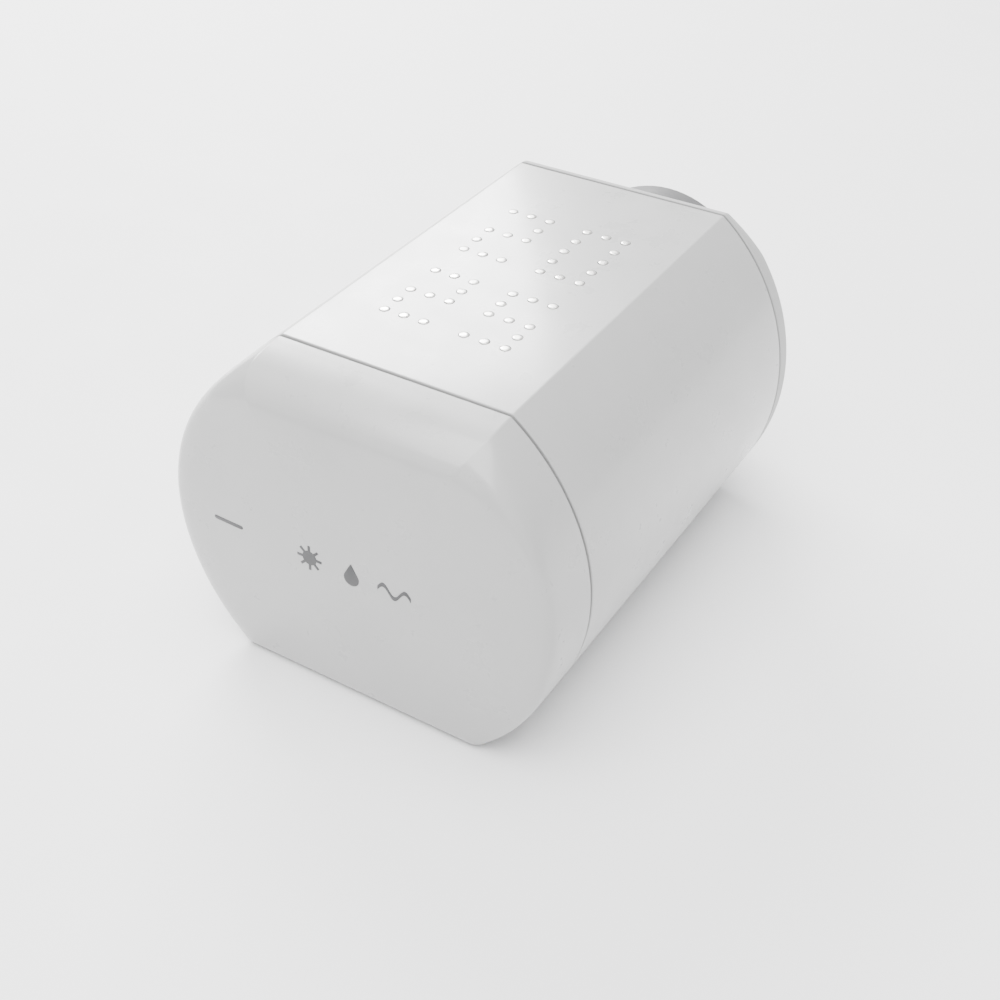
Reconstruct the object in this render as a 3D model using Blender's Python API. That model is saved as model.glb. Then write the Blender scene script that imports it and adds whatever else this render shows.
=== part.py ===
"""Compact rain, sun and wind weather station on a slide-on wall bracket.

Frame: metres, +Z up, +X to the right seen from the front, -Y towards the front.
The origin is the centre of the bracket's back face, the face that lies on the wall.
Local drafting coordinates are millimetres: x, s (back from the front seam), z (up from the underside).
"""
import math
import bmesh
import bpy
from mathutils import Vector

MM = 0.001

# driving dimensions, millimetres
WIDTH = 96.0            # widest point of the barrel section
HEIGHT = 75.0           # height at the front seam
RISE = 4.0              # the top falls towards the front by this much, so that rain runs off
HALF_H = 47.7           # vertical half axis of the barrel section
MID_Z = 36.2            # height of the widest point
HOOD_L = 98.0           # front seam to rear seam
CAP_D = 17.0            # depth of the front cap
CAP_BOW = 1.0           # extra bow of the cap's face
CAP_P_LOW = 17.0        # roundness of the cap's edge below the middle: higher is sharper
CAP_P_TOP = 4.5         # roundness of the cap's edge at the top
CAP_FALL = 0.05         # extra slope of the cap's top
SOFT_Z = 66.0           # the cap's and the rear cover's top edges fall away above this height
REAR_D = 4.8            # rear cover
BRACKET_D = 26.0        # rear cover to wall
WALL = 2.4              # wall of hood and cap
SEAM = 0.45             # half of a seam's open gap
CORNER = 2.5            # corner radius at the underside
PAD_R = 1.1             # rain pad radius
PAD_X = -0.6            # the pad field's middle column
PAD_PITCH_X = 5.0       # column pitch
FRONT_ROWS = (19.7, 4.94)   # first row and row pitch of the two front groups
REAR_ROWS = (51.2, 5.48)    # first row and row pitch of the two rear groups
PAD_ROWS = 5
PAD_GAP = 0.15          # air round each pad, and its height over the hood
BOARD_T = 1.6           # printed circuit boards
PLATE_T = 4.5           # bracket plate
PLATE_R = 26.0          # bracket plate end radius, half of its width
PLATE_LO = 8.1          # bracket plate's lowest and highest points
PLATE_HI = 67.9
LIP_D = 9.0             # the plate's curved lip reaches this far forward
LIP_T = 2.6             # its wall
WALL_HOLE_X = 19.0      # the two long wall holes
WALL_HOLE = (34.25, 41.75, 2.5)     # lowest and highest point and end radius
RAIL_LO = 14.0          # the rear cover's rails, lower and upper end
RAIL_HI = 58.0
RAIL_X = (13.1, 17.1, 20.5)     # inner face of the rail's lip, of the rail, and outer face
RAIL_D = 8.2            # rail depth
RAIL_LIP_T = 3.0        # thickness of the rail's lip
FLANGE_X = 16.7         # half widths of the bracket's flange, web and hollow core
WEB_X = 12.7
CORE_X = 8.7
FLANGE_T = 4.5
SLIDE_GAP = 0.35        # air between flange and rail
REAR_DROP = 2.4         # the rear cover's top edge falls away by this much

# inside the hood: half width, first and last s
CONTACT_SHEET = (18.0, 16.0, 77.0)
RAIN_BOARD = (21.0, 12.0, 84.0)
HEATER = (17.0, 18.0, 78.0)
RETAINER_X = 16.0
RETAINER_T = 2.6
CONTACT_GAP = 0.3       # air between the hood's inner face and the contact sheet
CONTACT_T = 0.35
RIBBON_BOW = 9.0        # how far the ribbon bows back
RIBBON_W = 3.0          # half width
RIBBON_HALF_T = 0.45

# inside the base
MAIN_BOARD = (19.5, 24.0, 74.0)
LIGHT_BOARD = (17.0, 3.4, 5.3, 60.0)    # half width, front face, lower and upper edge
BOARD_Z = 9.0           # underside of the main board
ON_BOARD = BOARD_Z + BOARD_T + 0.2  # where the pieces on it start
FLOOR_T = 2.4           # chassis floor and its half width
FLOOR_X = 26.9
RIB_T = 1.5             # stiffening ribs along the floor
REAR_WALL_S = HOOD_L - 4.6
STANDOFFS = [(-16.5, 28.0), (16.5, 28.0), (-16.5, 70.0), (16.5, 70.0)]
GROMMETS = [(-10.5, 85.0), (10.5, 85.0)]
NOZZLE_S = 16.5         # wind channel
CAP_SCREW_S = -3.3
SCREW_X = 12.0          # screws of cap, rear cover and light board lie at this distance from the middle
REAR_SCREW_Z = 20.0
LIGHT_SCREW_Z = 11.5
RIBBON_X = -13.0        # rain ribbon and its plug
RIBBON_S = 57.0
BUTTON = (13.0, 35.0)
COIL = (13.0, 53.0)
CHIP_S = 44.0
TERMINAL_S = 66.0
TERMINAL_PITCH = 5.0
SENSOR_Z = 54.0         # light sensors
MARK_Z = 36.2           # row of marks on the cap

WALL_S = HOOD_L + REAR_D + BRACKET_D
ORIGIN_Z = (PLATE_LO + PLATE_HI) / 2

SIDE_N = 20             # segments of each curved side
ROUND_N = 24            # segments of a round feature


def world(x, s, z):
    return Vector((x * MM, (s - WALL_S) * MM, (z - ORIGIN_Z) * MM))


def top_z(s):
    return HEIGHT + RISE * s / HOOD_L


def lift(z, s):
    return z * top_z(s) / HEIGHT


# ---------------------------------------------------------------- materials and objects

MATERIALS = {
    "white_shell": ((0.80, 0.80, 0.78), 0.38, 0.0),
    "white_base": ((0.76, 0.76, 0.74), 0.45, 0.0),
    "bracket_grey": ((0.25, 0.26, 0.27), 0.5, 0.0),
    "gasket_black": ((0.03, 0.03, 0.03), 0.8, 0.0),
    "grommet_rubber": ((0.05, 0.05, 0.055), 0.85, 0.0),
    "mark_grey": ((0.10, 0.10, 0.11), 0.5, 0.0),
    "pad_nickel": ((0.82, 0.80, 0.74), 0.3, 1.0),
    "board_green": ((0.02, 0.16, 0.07), 0.45, 0.0),
    "heater_film": ((0.45, 0.20, 0.05), 0.5, 0.0),
    "chip_black": ((0.02, 0.02, 0.022), 0.5, 0.0),
    "pin_tin": ((0.75, 0.75, 0.74), 0.35, 1.0),
    "screw_steel": ((0.60, 0.60, 0.61), 0.35, 1.0),
    "terminal_green": ((0.03, 0.25, 0.12), 0.5, 0.0),
    "socket_cream": ((0.72, 0.66, 0.50), 0.55, 0.0),
    "plug_cream": ((0.75, 0.70, 0.56), 0.55, 0.0),
    "ribbon_grey": ((0.35, 0.35, 0.36), 0.6, 0.0),
    "can_blue": ((0.02, 0.04, 0.12), 0.4, 0.0),
    "core_grey": ((0.08, 0.08, 0.085), 0.6, 0.0),
    "winding_copper": ((0.55, 0.22, 0.08), 0.35, 1.0),
    "led_red": ((0.50, 0.02, 0.02), 0.25, 0.0),
    "button_black": ((0.03, 0.03, 0.03), 0.5, 0.0),
    "lens_clear": ((0.55, 0.58, 0.60), 0.12, 0.0),
    "ceramic_white": ((0.80, 0.79, 0.74), 0.6, 0.0),
    "bead_black": ((0.02, 0.02, 0.02), 0.35, 0.0),
    "label_silver": ((0.62, 0.63, 0.64), 0.45, 0.0),
}


def material(name):
    mat = bpy.data.materials.get(name)
    if mat is None:
        colour, rough, metal = MATERIALS[name]
        mat = bpy.data.materials.new(name)
        mat.use_nodes = True
        shader = mat.node_tree.nodes["Principled BSDF"]
        shader.inputs["Base Color"].default_value = (*colour, 1.0)
        shader.inputs["Roughness"].default_value = rough
        shader.inputs["Metallic"].default_value = metal
    return mat


def add_object(name, bm, mat_name):
    bmesh.ops.recalc_face_normals(bm, faces=bm.faces)
    mesh = bpy.data.meshes.new(name)
    bm.to_mesh(mesh)
    bm.free()
    obj = bpy.data.objects.new(name, mesh)
    bpy.context.scene.collection.objects.link(obj)
    if mat_name:
        mesh.materials.append(material(mat_name))
    mesh.shade_smooth()
    mesh.set_sharp_from_angle(angle=math.radians(32))
    return obj


def boolean(obj, cutter, operation):
    mod = obj.modifiers.new(operation.lower(), "BOOLEAN")
    mod.operation = operation
    mod.solver = "EXACT"
    mod.object = cutter
    bpy.context.view_layer.objects.active = obj
    bpy.ops.object.modifier_apply(modifier=mod.name)
    bpy.data.objects.remove(cutter)
    obj.data.shade_smooth()
    obj.data.set_sharp_from_angle(angle=math.radians(32))


def cut(obj, bm):
    boolean(obj, add_object("cutter", bm, None), "DIFFERENCE")


def join(obj, bm):
    boolean(obj, add_object("adder", bm, None), "UNION")


# ---------------------------------------------------------------- building blocks

def bridge(bm, ring_a, ring_b, closed=True):
    count = len(ring_a)
    last = count if closed else count - 1
    for i in range(last):
        j = (i + 1) % count
        bm.faces.new((ring_a[i], ring_a[j], ring_b[j], ring_b[i]))


def loft(bm, rings, cap_ends=True):
    made = [[bm.verts.new(p) for p in ring] for ring in rings]
    for a, b in zip(made, made[1:]):
        bridge(bm, a, b)
    if cap_ends:
        bm.faces.new(list(reversed(made[0])))
        bm.faces.new(made[-1])
    else:
        bridge(bm, made[-1], made[0])


def slab(bm, x0, x1, s0, s1, z0, z1):
    """A block; z0 and z1 are heights or functions of s."""
    low = z0 if callable(z0) else lambda s: z0
    high = z1 if callable(z1) else lambda s: z1
    rings = []
    for x in (x0, x1):
        rings.append([world(x, s0, low(s0)), world(x, s1, low(s1)),
                      world(x, s1, high(s1)), world(x, s0, high(s0))])
    loft(bm, rings)


def circle(cx, cs, z, r, n=ROUND_N):
    return [world(cx + r * math.cos(2 * math.pi * i / n), cs + r * math.sin(2 * math.pi * i / n), z)
            for i in range(n)]


def post(bm, cx, cs, steps, n=ROUND_N):
    """A solid of revolution about a vertical axis: steps are (radius, height) from one end to the other."""
    loft(bm, [circle(cx, cs, z, r, n) for r, z in steps])


def tube(bm, cx, cs, steps, n=ROUND_N):
    """A ring of revolution: steps run round the closed wall section."""
    loft(bm, [circle(cx, cs, z, r, n) for r, z in steps], cap_ends=False)


def rod_s(bm, cx, cz, steps, n=ROUND_N):
    """A solid of revolution about an axis along s: steps are (radius, s)."""
    rings = []
    for r, s in steps:
        rings.append([world(cx + r * math.cos(2 * math.pi * i / n), s, cz + r * math.sin(2 * math.pi * i / n))
                      for i in range(n)])
    loft(bm, rings)


def rod_x(bm, cs, cz, steps, n=ROUND_N):
    rings = []
    for r, x in steps:
        rings.append([world(x, cs + r * math.cos(2 * math.pi * i / n), cz + r * math.sin(2 * math.pi * i / n))
                      for i in range(n)])
    loft(bm, rings)


# ---------------------------------------------------------------- the barrel section

def side_points(off, z_low):
    """Right-hand side of the section, from its top corner down to z_low."""
    a = WIDTH / 2 - off
    b = HALF_H - off
    start = math.asin((HEIGHT - off - MID_Z) / b)
    end = math.asin(max(-0.999, (z_low - MID_Z) / b))
    pts = []
    for i in range(SIDE_N + 1):
        t = start + (end - start) * i / SIDE_N
        pts.append((a * math.cos(t), MID_Z + b * math.sin(t)))
    return pts


def closed_section(off):
    """The whole section with rounded lower corners, anticlockwise seen from the front."""
    right = side_points(off, off + CORNER * 0.75)
    x_end = right[-1][0]
    x_flat = side_points(off, off)[-1][0] - CORNER * 0.9
    lower = []
    for k in (0.34, 0.67, 1.0):
        x = x_end + (x_flat - x_end) * k ** 0.85
        z = off + (right[-1][1] - off) * (1 - k) ** 2
        lower.append((x, z))
    path = right + lower
    left = [(-x, z) for x, z in reversed(path)]
    return path + left


def section_ring(off, s, scale=1.0):
    cz = MID_Z
    return [world(x * scale, s, lift(cz + (z - cz) * scale, s)) for x, z in closed_section(off)]


def hood_ring(s, z_low=0.0):
    """C-shaped wall of the hood at s: outer path, then the inner path back."""
    outer = side_points(0.0, z_low)
    inner = side_points(WALL, z_low)
    pts = [(-x, z) for x, z in reversed(outer)] + outer
    back = [(x, z) for x, z in reversed(inner)] + [(-x, z) for x, z in inner]
    return [world(x, s, lift(z, s)) for x, z in pts + back]


def hood_caps(bm, ring):
    half = len(ring) // 2
    for i in range(half - 1):
        bm.faces.new((ring[i], ring[i + 1], ring[2 * half - 2 - i], ring[2 * half - 1 - i]))


# ---------------------------------------------------------------- pads

def pad_cells():
    """Cells (column, row) of the three pad patterns, each three columns wide."""
    last = PAD_ROWS - 1
    bars = [(c, r) for c in range(3) for r in (0, 2, last)]
    ess = bars + [(2, 1), (0, 3)]
    zed = bars + [(0, 1), (2, 3)]
    loop = [(c, r) for c in range(3) for r in range(PAD_ROWS) if c != 1 or r in (0, last)]
    return ess, zed, loop


def pad_places():
    ess, zed, loop = pad_cells()
    groups = ((ess, 1, FRONT_ROWS), (zed, -3, FRONT_ROWS), (loop, 1, REAR_ROWS), (zed, -3, REAR_ROWS))
    places = []
    for cells, column, rows in groups:
        places += [(PAD_X + (column + c) * PAD_PITCH_X, rows[0] + r * rows[1]) for c, r in cells]
    return places


# ---------------------------------------------------------------- hood body

def make_hood():
    bm = bmesh.new()
    rings = [hood_ring(SEAM * 0.6), hood_ring(HOOD_L * 0.5), hood_ring(HOOD_L - SEAM * 0.6)]
    made = [[bm.verts.new(p) for p in ring] for ring in rings]
    for a, b in zip(made, made[1:]):
        bridge(bm, a, b)
    hood_caps(bm, made[0])
    hood_caps(bm, made[-1])
    obj = add_object("hood_shell", bm, "white_shell")
    holes = bmesh.new()
    for x, s in pad_places():
        post(holes, x, s, [(PAD_R + PAD_GAP, top_z(s) - WALL - 1.0), (PAD_R + PAD_GAP, top_z(s) + 1.0)], 10)
    cut(obj, holes)


def sheet_top(s):
    return top_z(s) - WALL - CONTACT_GAP


def make_rain_pads():
    """All pads stand on one thin contact sheet under the hood's top."""
    bm = bmesh.new()
    half, s0, s1 = CONTACT_SHEET
    slab(bm, -half, half, s0, s1, lambda s: sheet_top(s) - CONTACT_T, sheet_top)
    obj = add_object("rain_pads", bm, "pad_nickel")
    pins = bmesh.new()
    for x, s in pad_places():
        top = top_z(s) + PAD_GAP
        low = sheet_top(s) - CONTACT_T / 2
        post(pins, x, s, [(PAD_R, low), (PAD_R, top - 0.1), (PAD_R - 0.15, top)], 10)
    join(obj, pins)


def board_low(s):
    return sheet_top(s) - CONTACT_T - CONTACT_GAP - BOARD_T


def make_rain_board():
    bm = bmesh.new()
    half, s0, s1 = RAIN_BOARD
    slab(bm, -half, half, s0, s1, board_low, lambda s: board_low(s) + BOARD_T)
    add_object("rain_board", bm, "board_green")


def make_retainer(name, s0):
    bm = bmesh.new()
    slab(bm, -RETAINER_X, RETAINER_X, s0, s0 + RETAINER_T, lambda s: board_low(s) - 0.2, sheet_top)
    add_object(name, bm, "white_base")


def make_heater():
    bm = bmesh.new()
    half, s0, s1 = HEATER
    slab(bm, -half, half, s0, s1, lambda s: board_low(s) - 0.7, lambda s: board_low(s) - 0.3)
    add_object("heater_film", bm, "heater_film")


def make_rain_plug():
    bm = bmesh.new()
    slab(bm, RIBBON_X - 3.2, RIBBON_X + 3.2, RIBBON_S - 1.9, RIBBON_S + 1.9, 13.0, 17.6)
    obj = add_object("rain_plug", bm, "plug_cream")
    top = bmesh.new()
    slab(top, RIBBON_X - 4.2, RIBBON_X + 4.2, RIBBON_S - 2.7, RIBBON_S + 2.7, 17.5, 21.0)
    join(obj, top)


def make_ribbon():
    """Flat ribbon that rises from the plug, bows back and ends under the rain board."""
    bm = bmesh.new()
    rings = []
    count = 24
    z0 = 21.3
    height = board_low(RIBBON_S) - 1.4 - z0
    left = RIBBON_X - RIBBON_W
    right = RIBBON_X + RIBBON_W
    for i in range(count + 1):
        t = i / count
        z = z0 + height * t
        s = RIBBON_S + RIBBON_BOW * math.sin(math.pi * t) ** 2
        slope = RIBBON_BOW * math.pi * math.sin(2 * math.pi * t) / height
        across = Vector((0.0, 1.0, -slope)).normalized() * RIBBON_HALF_T
        front = (s - across.y, z - across.z)
        rear = (s + across.y, z + across.z)
        rings.append([world(left, *front), world(right, *front), world(right, *rear), world(left, *rear)])
    loft(bm, rings)
    add_object("rain_ribbon", bm, "ribbon_grey")


# ---------------------------------------------------------------- base body

def cap_power(z):
    """Sharpness of the cap's edge: constant below the middle, softer towards the top."""
    if z <= MID_Z:
        return CAP_P_LOW
    share = min(1.0, (z - MID_Z) / (HEIGHT - MID_Z))
    return CAP_P_LOW + (CAP_P_TOP - CAP_P_LOW) * share ** 2


def soft_share(z):
    """0 below the height where the top edges start to fall away, 1 at the top."""
    return min(1.0, max(0.0, (z - SOFT_Z) / (HEIGHT - SOFT_Z)))


def cap_reach(k, z):
    """Forward reach of the cap at fraction k of the way from its centre to its edge, at height z."""
    p = cap_power(z)
    return CAP_D * max(0.0, 1 - k ** p) ** (1 / p) + CAP_BOW * (1 - k * k)


def cap_ring(off, k, back=0.0):
    ring = []
    for x, z in closed_section(off):
        zk = MID_Z + (z - MID_Z) * k
        reach = cap_reach(k, zk)
        s = back - reach
        ring.append(world(x * k, s, lift(zk, s) - CAP_FALL * reach * soft_share(zk)))
    return ring


def make_front_cap():
    bm = bmesh.new()
    rings = [section_ring(1.0, -SEAM), section_ring(0.0, -SEAM), section_ring(0.0, -CAP_D * 0.08)]
    for k in (0.9995, 0.998, 0.993, 0.984, 0.97, 0.94, 0.88, 0.78, 0.6, 0.38, 0.14):
        rings.append(cap_ring(0.0, k))
    made = [[bm.verts.new(p) for p in ring] for ring in rings]
    for a, b in zip(made, made[1:]):
        bridge(bm, a, b)
    bm.faces.new(made[-1])
    inner = [section_ring(1.0, -SEAM - 1.25), section_ring(WALL, -SEAM - 1.25), section_ring(WALL, -CAP_D * 0.2)]
    for k in (0.996, 0.98, 0.94, 0.85, 0.6, 0.14):
        inner.append(cap_ring(WALL, k, WALL))
    inner_made = [[bm.verts.new(p) for p in ring] for ring in inner]
    for a, b in zip(inner_made, inner_made[1:]):
        bridge(bm, a, b)
    bm.faces.new(inner_made[-1])
    bridge(bm, made[0], inner_made[0])
    obj = add_object("front_cap", bm, "white_shell")
    holes = bmesh.new()
    for x in (-SCREW_X, SCREW_X):
        post(holes, x, CAP_SCREW_S, [(2.6, -1.0), (2.6, 1.4), (1.5, 1.4), (1.5, 5.0)], 16)
    cut(obj, holes)


def make_gasket(name, s0, s1):
    bm = bmesh.new()
    rings = [section_ring(1.3, s0), section_ring(1.3, s1), section_ring(WALL - 0.1, s1), section_ring(WALL - 0.1, s0)]
    loft(bm, rings, cap_ends=False)
    add_object(name, bm, "gasket_black")


def chassis_solids():
    """Blocks that grow out of the floor, each reaching a little into its neighbour."""
    tongue = (-18.0, 18.0, -5.1, 7.0, 3.0, 5.0)
    tongue_root = (-18.0, 18.0, 0.3, 7.0, FLOOR_T - 0.4, 4.9)
    light_board_wall = (-18.0, 18.0, 5.4, 7.0, 4.5, 15.0)
    rear_wall = (-20.0, 20.0, REAR_WALL_S, REAR_WALL_S + 3.6, FLOOR_T - 0.4, 28.0)
    rear_boss = (-20.0, 20.0, REAR_WALL_S + 2.6, REAR_WALL_S + 5.9, 2.9, 28.0)
    left_rib = (-FLOOR_X, -FLOOR_X + RIB_T, 9.0, 94.0, FLOOR_T - 0.4, 7.5)
    right_rib = (FLOOR_X - RIB_T, FLOOR_X, 9.0, 94.0, FLOOR_T - 0.4, 7.5)
    return [tongue, tongue_root, light_board_wall, rear_wall, rear_boss, left_rib, right_rib]


def make_chassis():
    bm = bmesh.new()
    slab(bm, -FLOOR_X, FLOOR_X, 0.3, HOOD_L - 0.3, 0.0, FLOOR_T)
    obj = add_object("base_chassis", bm, "white_base")
    for box in chassis_solids():
        extra = bmesh.new()
        slab(extra, *box)
        join(obj, extra)
    posts = bmesh.new()
    for x, s in STANDOFFS:
        post(posts, x, s, [(3.0, 1.5), (3.0, BOARD_Z - 0.3)])
    join(obj, posts)
    cut_chassis(obj)


def cut_chassis(obj):
    holes = bmesh.new()
    for x, s in STANDOFFS:
        post(holes, x, s, [(1.35, 3.2), (1.35, BOARD_Z + 1)], 16)
    for x in (-SCREW_X, SCREW_X):
        post(holes, x, CAP_SCREW_S, [(1.35, 2.0), (1.35, 6.0)], 16)
        rod_s(holes, x, REAR_SCREW_Z, [(1.5, REAR_WALL_S - 1), (1.5, REAR_WALL_S + 7)], 16)
        rod_s(holes, x, LIGHT_SCREW_Z, [(1.2, 4.0), (1.2, 8.0)], 16)
    for x, s in GROMMETS:
        post(holes, x, s, [(6.8, -1.0), (6.8, 1.2), (5.0, 1.2), (5.0, 3.5)])
    post(holes, 0.0, NOZZLE_S, [(7.3, -1.0), (7.3, 3.5)])
    for x in (-15.0, -12.0, -9.0):
        slab(holes, x - 0.75, x + 0.75, 50.0, 60.0, -1.0, 4.0)
    slab(holes, -2.0, 18.0, 34.0, 64.0, -1.0, 0.6)
    cut(obj, holes)


def rear_ring(off, s):
    """Ring of the rear cover: its top edge falls away towards the back."""
    depth = max(0.0, (s - HOOD_L - SEAM) / (REAR_D - SEAM))
    ring = []
    for x, z in closed_section(off):
        ring.append(world(x, s, lift(z, s) - REAR_DROP * soft_share(z) * depth ** 2))
    return ring


def make_rear_cover():
    bm = bmesh.new()
    s0 = HOOD_L + SEAM
    back = HOOD_L + REAR_D
    rings = [section_ring(WALL, s0 + 1.25), section_ring(1.0, s0 + 1.25), section_ring(1.0, s0),
             rear_ring(0.0, s0), rear_ring(0.0, s0 + 1.6), rear_ring(0.0, back - 1.2),
             rear_ring(0.35, back - 0.35), rear_ring(1.2, back)]
    loft(bm, rings)
    obj = add_object("rear_cover", bm, "white_base")
    join(obj, rail_blocks(back, RAIL_X[1], RAIL_X[2], -1.0))
    join(obj, rail_blocks(back, RAIL_X[0], RAIL_X[1] + 1.9, RAIL_D - RAIL_LIP_T))
    roof = bmesh.new()
    slab(roof, -RAIL_X[2], RAIL_X[2], back - 1.0, back + RAIL_D, RAIL_HI - 0.5, RAIL_HI + 2.5)
    join(obj, roof)
    holes = bmesh.new()
    for x in (-SCREW_X, SCREW_X):
        rod_s(holes, x, REAR_SCREW_Z, [(1.35, HOOD_L - 1), (1.35, HOOD_L + REAR_D - 1.2)], 16)
    cut(obj, holes)


def rail_blocks(back, x_in, x_out, start):
    """A left and a right block from x_in to x_out, from start behind the cover's back to the rails' depth."""
    bm = bmesh.new()
    slab(bm, -x_out, -x_in, back + start, back + RAIL_D, RAIL_LO, RAIL_HI)
    slab(bm, x_in, x_out, back + start, back + RAIL_D, RAIL_LO, RAIL_HI)
    return bm


def make_screws(name, places, axis, head, shank, length):
    """Pan-head screws: places are (x, s, z) of the head's underside, axis 'z' down, 'u' up or 's' back."""
    for number, (x, s, z) in enumerate(places, 1):
        bm = bmesh.new()
        if axis == "z":
            post(bm, x, s, [(shank * 0.6, z - length), (shank, z - length + 1.0), (shank, z), (head, z),
                            (head, z + 1.1), (head * 0.75, z + 1.6)], 16)
        elif axis == "u":
            post(bm, x, s, [(shank * 0.6, z + length), (shank, z + length - 1.0), (shank, z), (head, z),
                            (head, z - 0.8), (head * 0.8, z - 1.0)], 16)
        else:
            rod_s(bm, x, z, [(shank * 0.6, s + length), (shank, s + length - 1.0), (shank, s), (head, s),
                             (head, s - 1.1), (head * 0.75, s - 1.6)], 16)
        add_object(f"{name}_{number}", bm, "screw_steel")


def make_main_board():
    bm = bmesh.new()
    half, s0, s1 = MAIN_BOARD
    slab(bm, -half, half, s0, s1, BOARD_Z, BOARD_Z + BOARD_T)
    obj = add_object("main_board", bm, "board_green")
    holes = bmesh.new()
    for x, s in STANDOFFS:
        post(holes, x, s, [(1.6, BOARD_Z - 1), (1.6, BOARD_Z + 3)], 16)
    cut(obj, holes)


def terminal_places():
    return [(TERMINAL_PITCH * (i - 1.5), TERMINAL_S - 1.0) for i in range(4)]


def make_terminal():
    bm = bmesh.new()
    slab(bm, -10.0, 10.0, TERMINAL_S - 5.0, TERMINAL_S + 5.0, ON_BOARD, ON_BOARD + 9.0)
    obj = add_object("terminal_block", bm, "terminal_green")
    holes = bmesh.new()
    for x, s in terminal_places():
        post(holes, x, s, [(2.0, ON_BOARD + 7.0), (2.0, ON_BOARD + 10.0)], 16)
        slab(holes, x - 1.5, x + 1.5, TERMINAL_S + 1.0, TERMINAL_S + 6.0, ON_BOARD + 1.5, ON_BOARD + 5.0)
    cut(obj, holes)
    for number, (x, s) in enumerate(terminal_places(), 1):
        screw = bmesh.new()
        post(screw, x, s, [(1.7, ON_BOARD + 7.2), (1.7, ON_BOARD + 8.2), (1.45, ON_BOARD + 8.5)], 16)
        add_object(f"terminal_screw_{number}", screw, "screw_steel")


def make_controller():
    bm = bmesh.new()
    rings = []
    for half, rise in ((4.7, 0.3), (5.0, 1.0), (4.7, 1.7)):
        corners = ((-half, CHIP_S - half), (half, CHIP_S - half), (half, CHIP_S + half), (-half, CHIP_S + half))
        rings.append([world(x, s, ON_BOARD + rise) for x, s in corners])
    loft(bm, rings)
    add_object("controller_chip", bm, "chip_black")
    make_leadframe()


def make_leadframe():
    """The chip's pins, eight to a side, on one thin plate under the chip."""
    z = ON_BOARD
    pin_w = 0.2
    reach = (4.2, 6.3)
    bm = bmesh.new()
    slab(bm, -4.4, 4.4, CHIP_S - 4.4, CHIP_S + 4.4, z - 0.1, z + 0.1)
    obj = add_object("controller_pins", bm, "pin_tin")
    legs = bmesh.new()
    for i in range(8):
        t = i - 3.5
        for d in (-1, 1):
            lo, hi = sorted((d * reach[0], d * reach[1]))
            slab(legs, lo, hi, CHIP_S + t - pin_w, CHIP_S + t + pin_w, z - 0.05, z + 0.15)
            slab(legs, t - pin_w, t + pin_w, CHIP_S + lo, CHIP_S + hi, z - 0.05, z + 0.15)
    join(obj, legs)


def make_capacitors():
    for name, x, s in (("capacitor_front", -12.5, 35.5), ("capacitor_rear", -12.5, 46.5)):
        bm = bmesh.new()
        z = ON_BOARD
        post(bm, x, s, [(3.9, z), (4.0, z + 0.4), (4.0, z + 1.3), (3.7, z + 1.7), (4.0, z + 2.1),
                        (4.0, z + 9.2), (3.6, z + 9.8)], 20)
        add_object(name, bm, "can_blue")


def make_coil():
    z = ON_BOARD
    x, s = COIL
    core = bmesh.new()
    post(core, x, s, [(5.0, z), (5.0, z + 1.0), (2.0, z + 1.0), (2.0, z + 4.6), (5.0, z + 4.6), (5.0, z + 5.6)])
    add_object("coil_core", core, "core_grey")
    wire = bmesh.new()
    section = [(2.25, z + 1.25), (2.25, z + 4.35)]
    for i in range(7):
        section += [(4.5, z + 4.35 - i * 0.45), (4.25, z + 4.2 - i * 0.45)]
    tube(wire, x, s, section, 20)
    add_object("coil_winding", wire, "winding_copper")


def make_button():
    z = ON_BOARD
    x, s = BUTTON
    bm = bmesh.new()
    slab(bm, x - 3.0, x + 3.0, s - 3.0, s + 3.0, z, z + 3.4)
    obj = add_object("button_base", bm, "chip_black")
    hole = bmesh.new()
    post(hole, x, s, [(1.95, z + 1.6), (1.95, z + 5.0)])
    cut(obj, hole)
    cap = bmesh.new()
    post(cap, x, s, [(1.75, z + 2.3), (1.75, z + 5.6), (1.45, z + 6.0)])
    add_object("button_cap", cap, "button_black")


def make_led():
    z = ON_BOARD
    bm = bmesh.new()
    steps = [(1.9, z), (1.9, z + 0.8), (1.5, z + 0.8), (1.5, z + 3.0)]
    steps += [(1.5 * math.cos(a), z + 3.0 + 1.5 * math.sin(a)) for a in (0.35, 0.7, 1.05, 1.35)]
    post(bm, 5.0, 30.0, steps, 20)
    add_object("status_led", bm, "led_red")


def make_rain_socket():
    z = ON_BOARD
    bm = bmesh.new()
    slab(bm, RIBBON_X - 4.5, RIBBON_X + 4.5, RIBBON_S - 3.2, RIBBON_S + 3.2, z, z + 6.3)
    obj = add_object("rain_socket", bm, "socket_cream")
    hole = bmesh.new()
    slab(hole, RIBBON_X - 3.5, RIBBON_X + 3.5, RIBBON_S - 2.2, RIBBON_S + 2.2, z + 1.6, z + 8.0)
    cut(obj, hole)


def make_light_board():
    bm = bmesh.new()
    half, s0, z0, z1 = LIGHT_BOARD
    slab(bm, -half, half, s0, s0 + BOARD_T, z0, z1)
    obj = add_object("light_board", bm, "board_green")
    holes = bmesh.new()
    for x in (-SCREW_X, SCREW_X):
        rod_s(holes, x, LIGHT_SCREW_Z, [(1.5, 3.0), (1.5, 6.0)], 16)
    cut(obj, holes)


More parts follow.
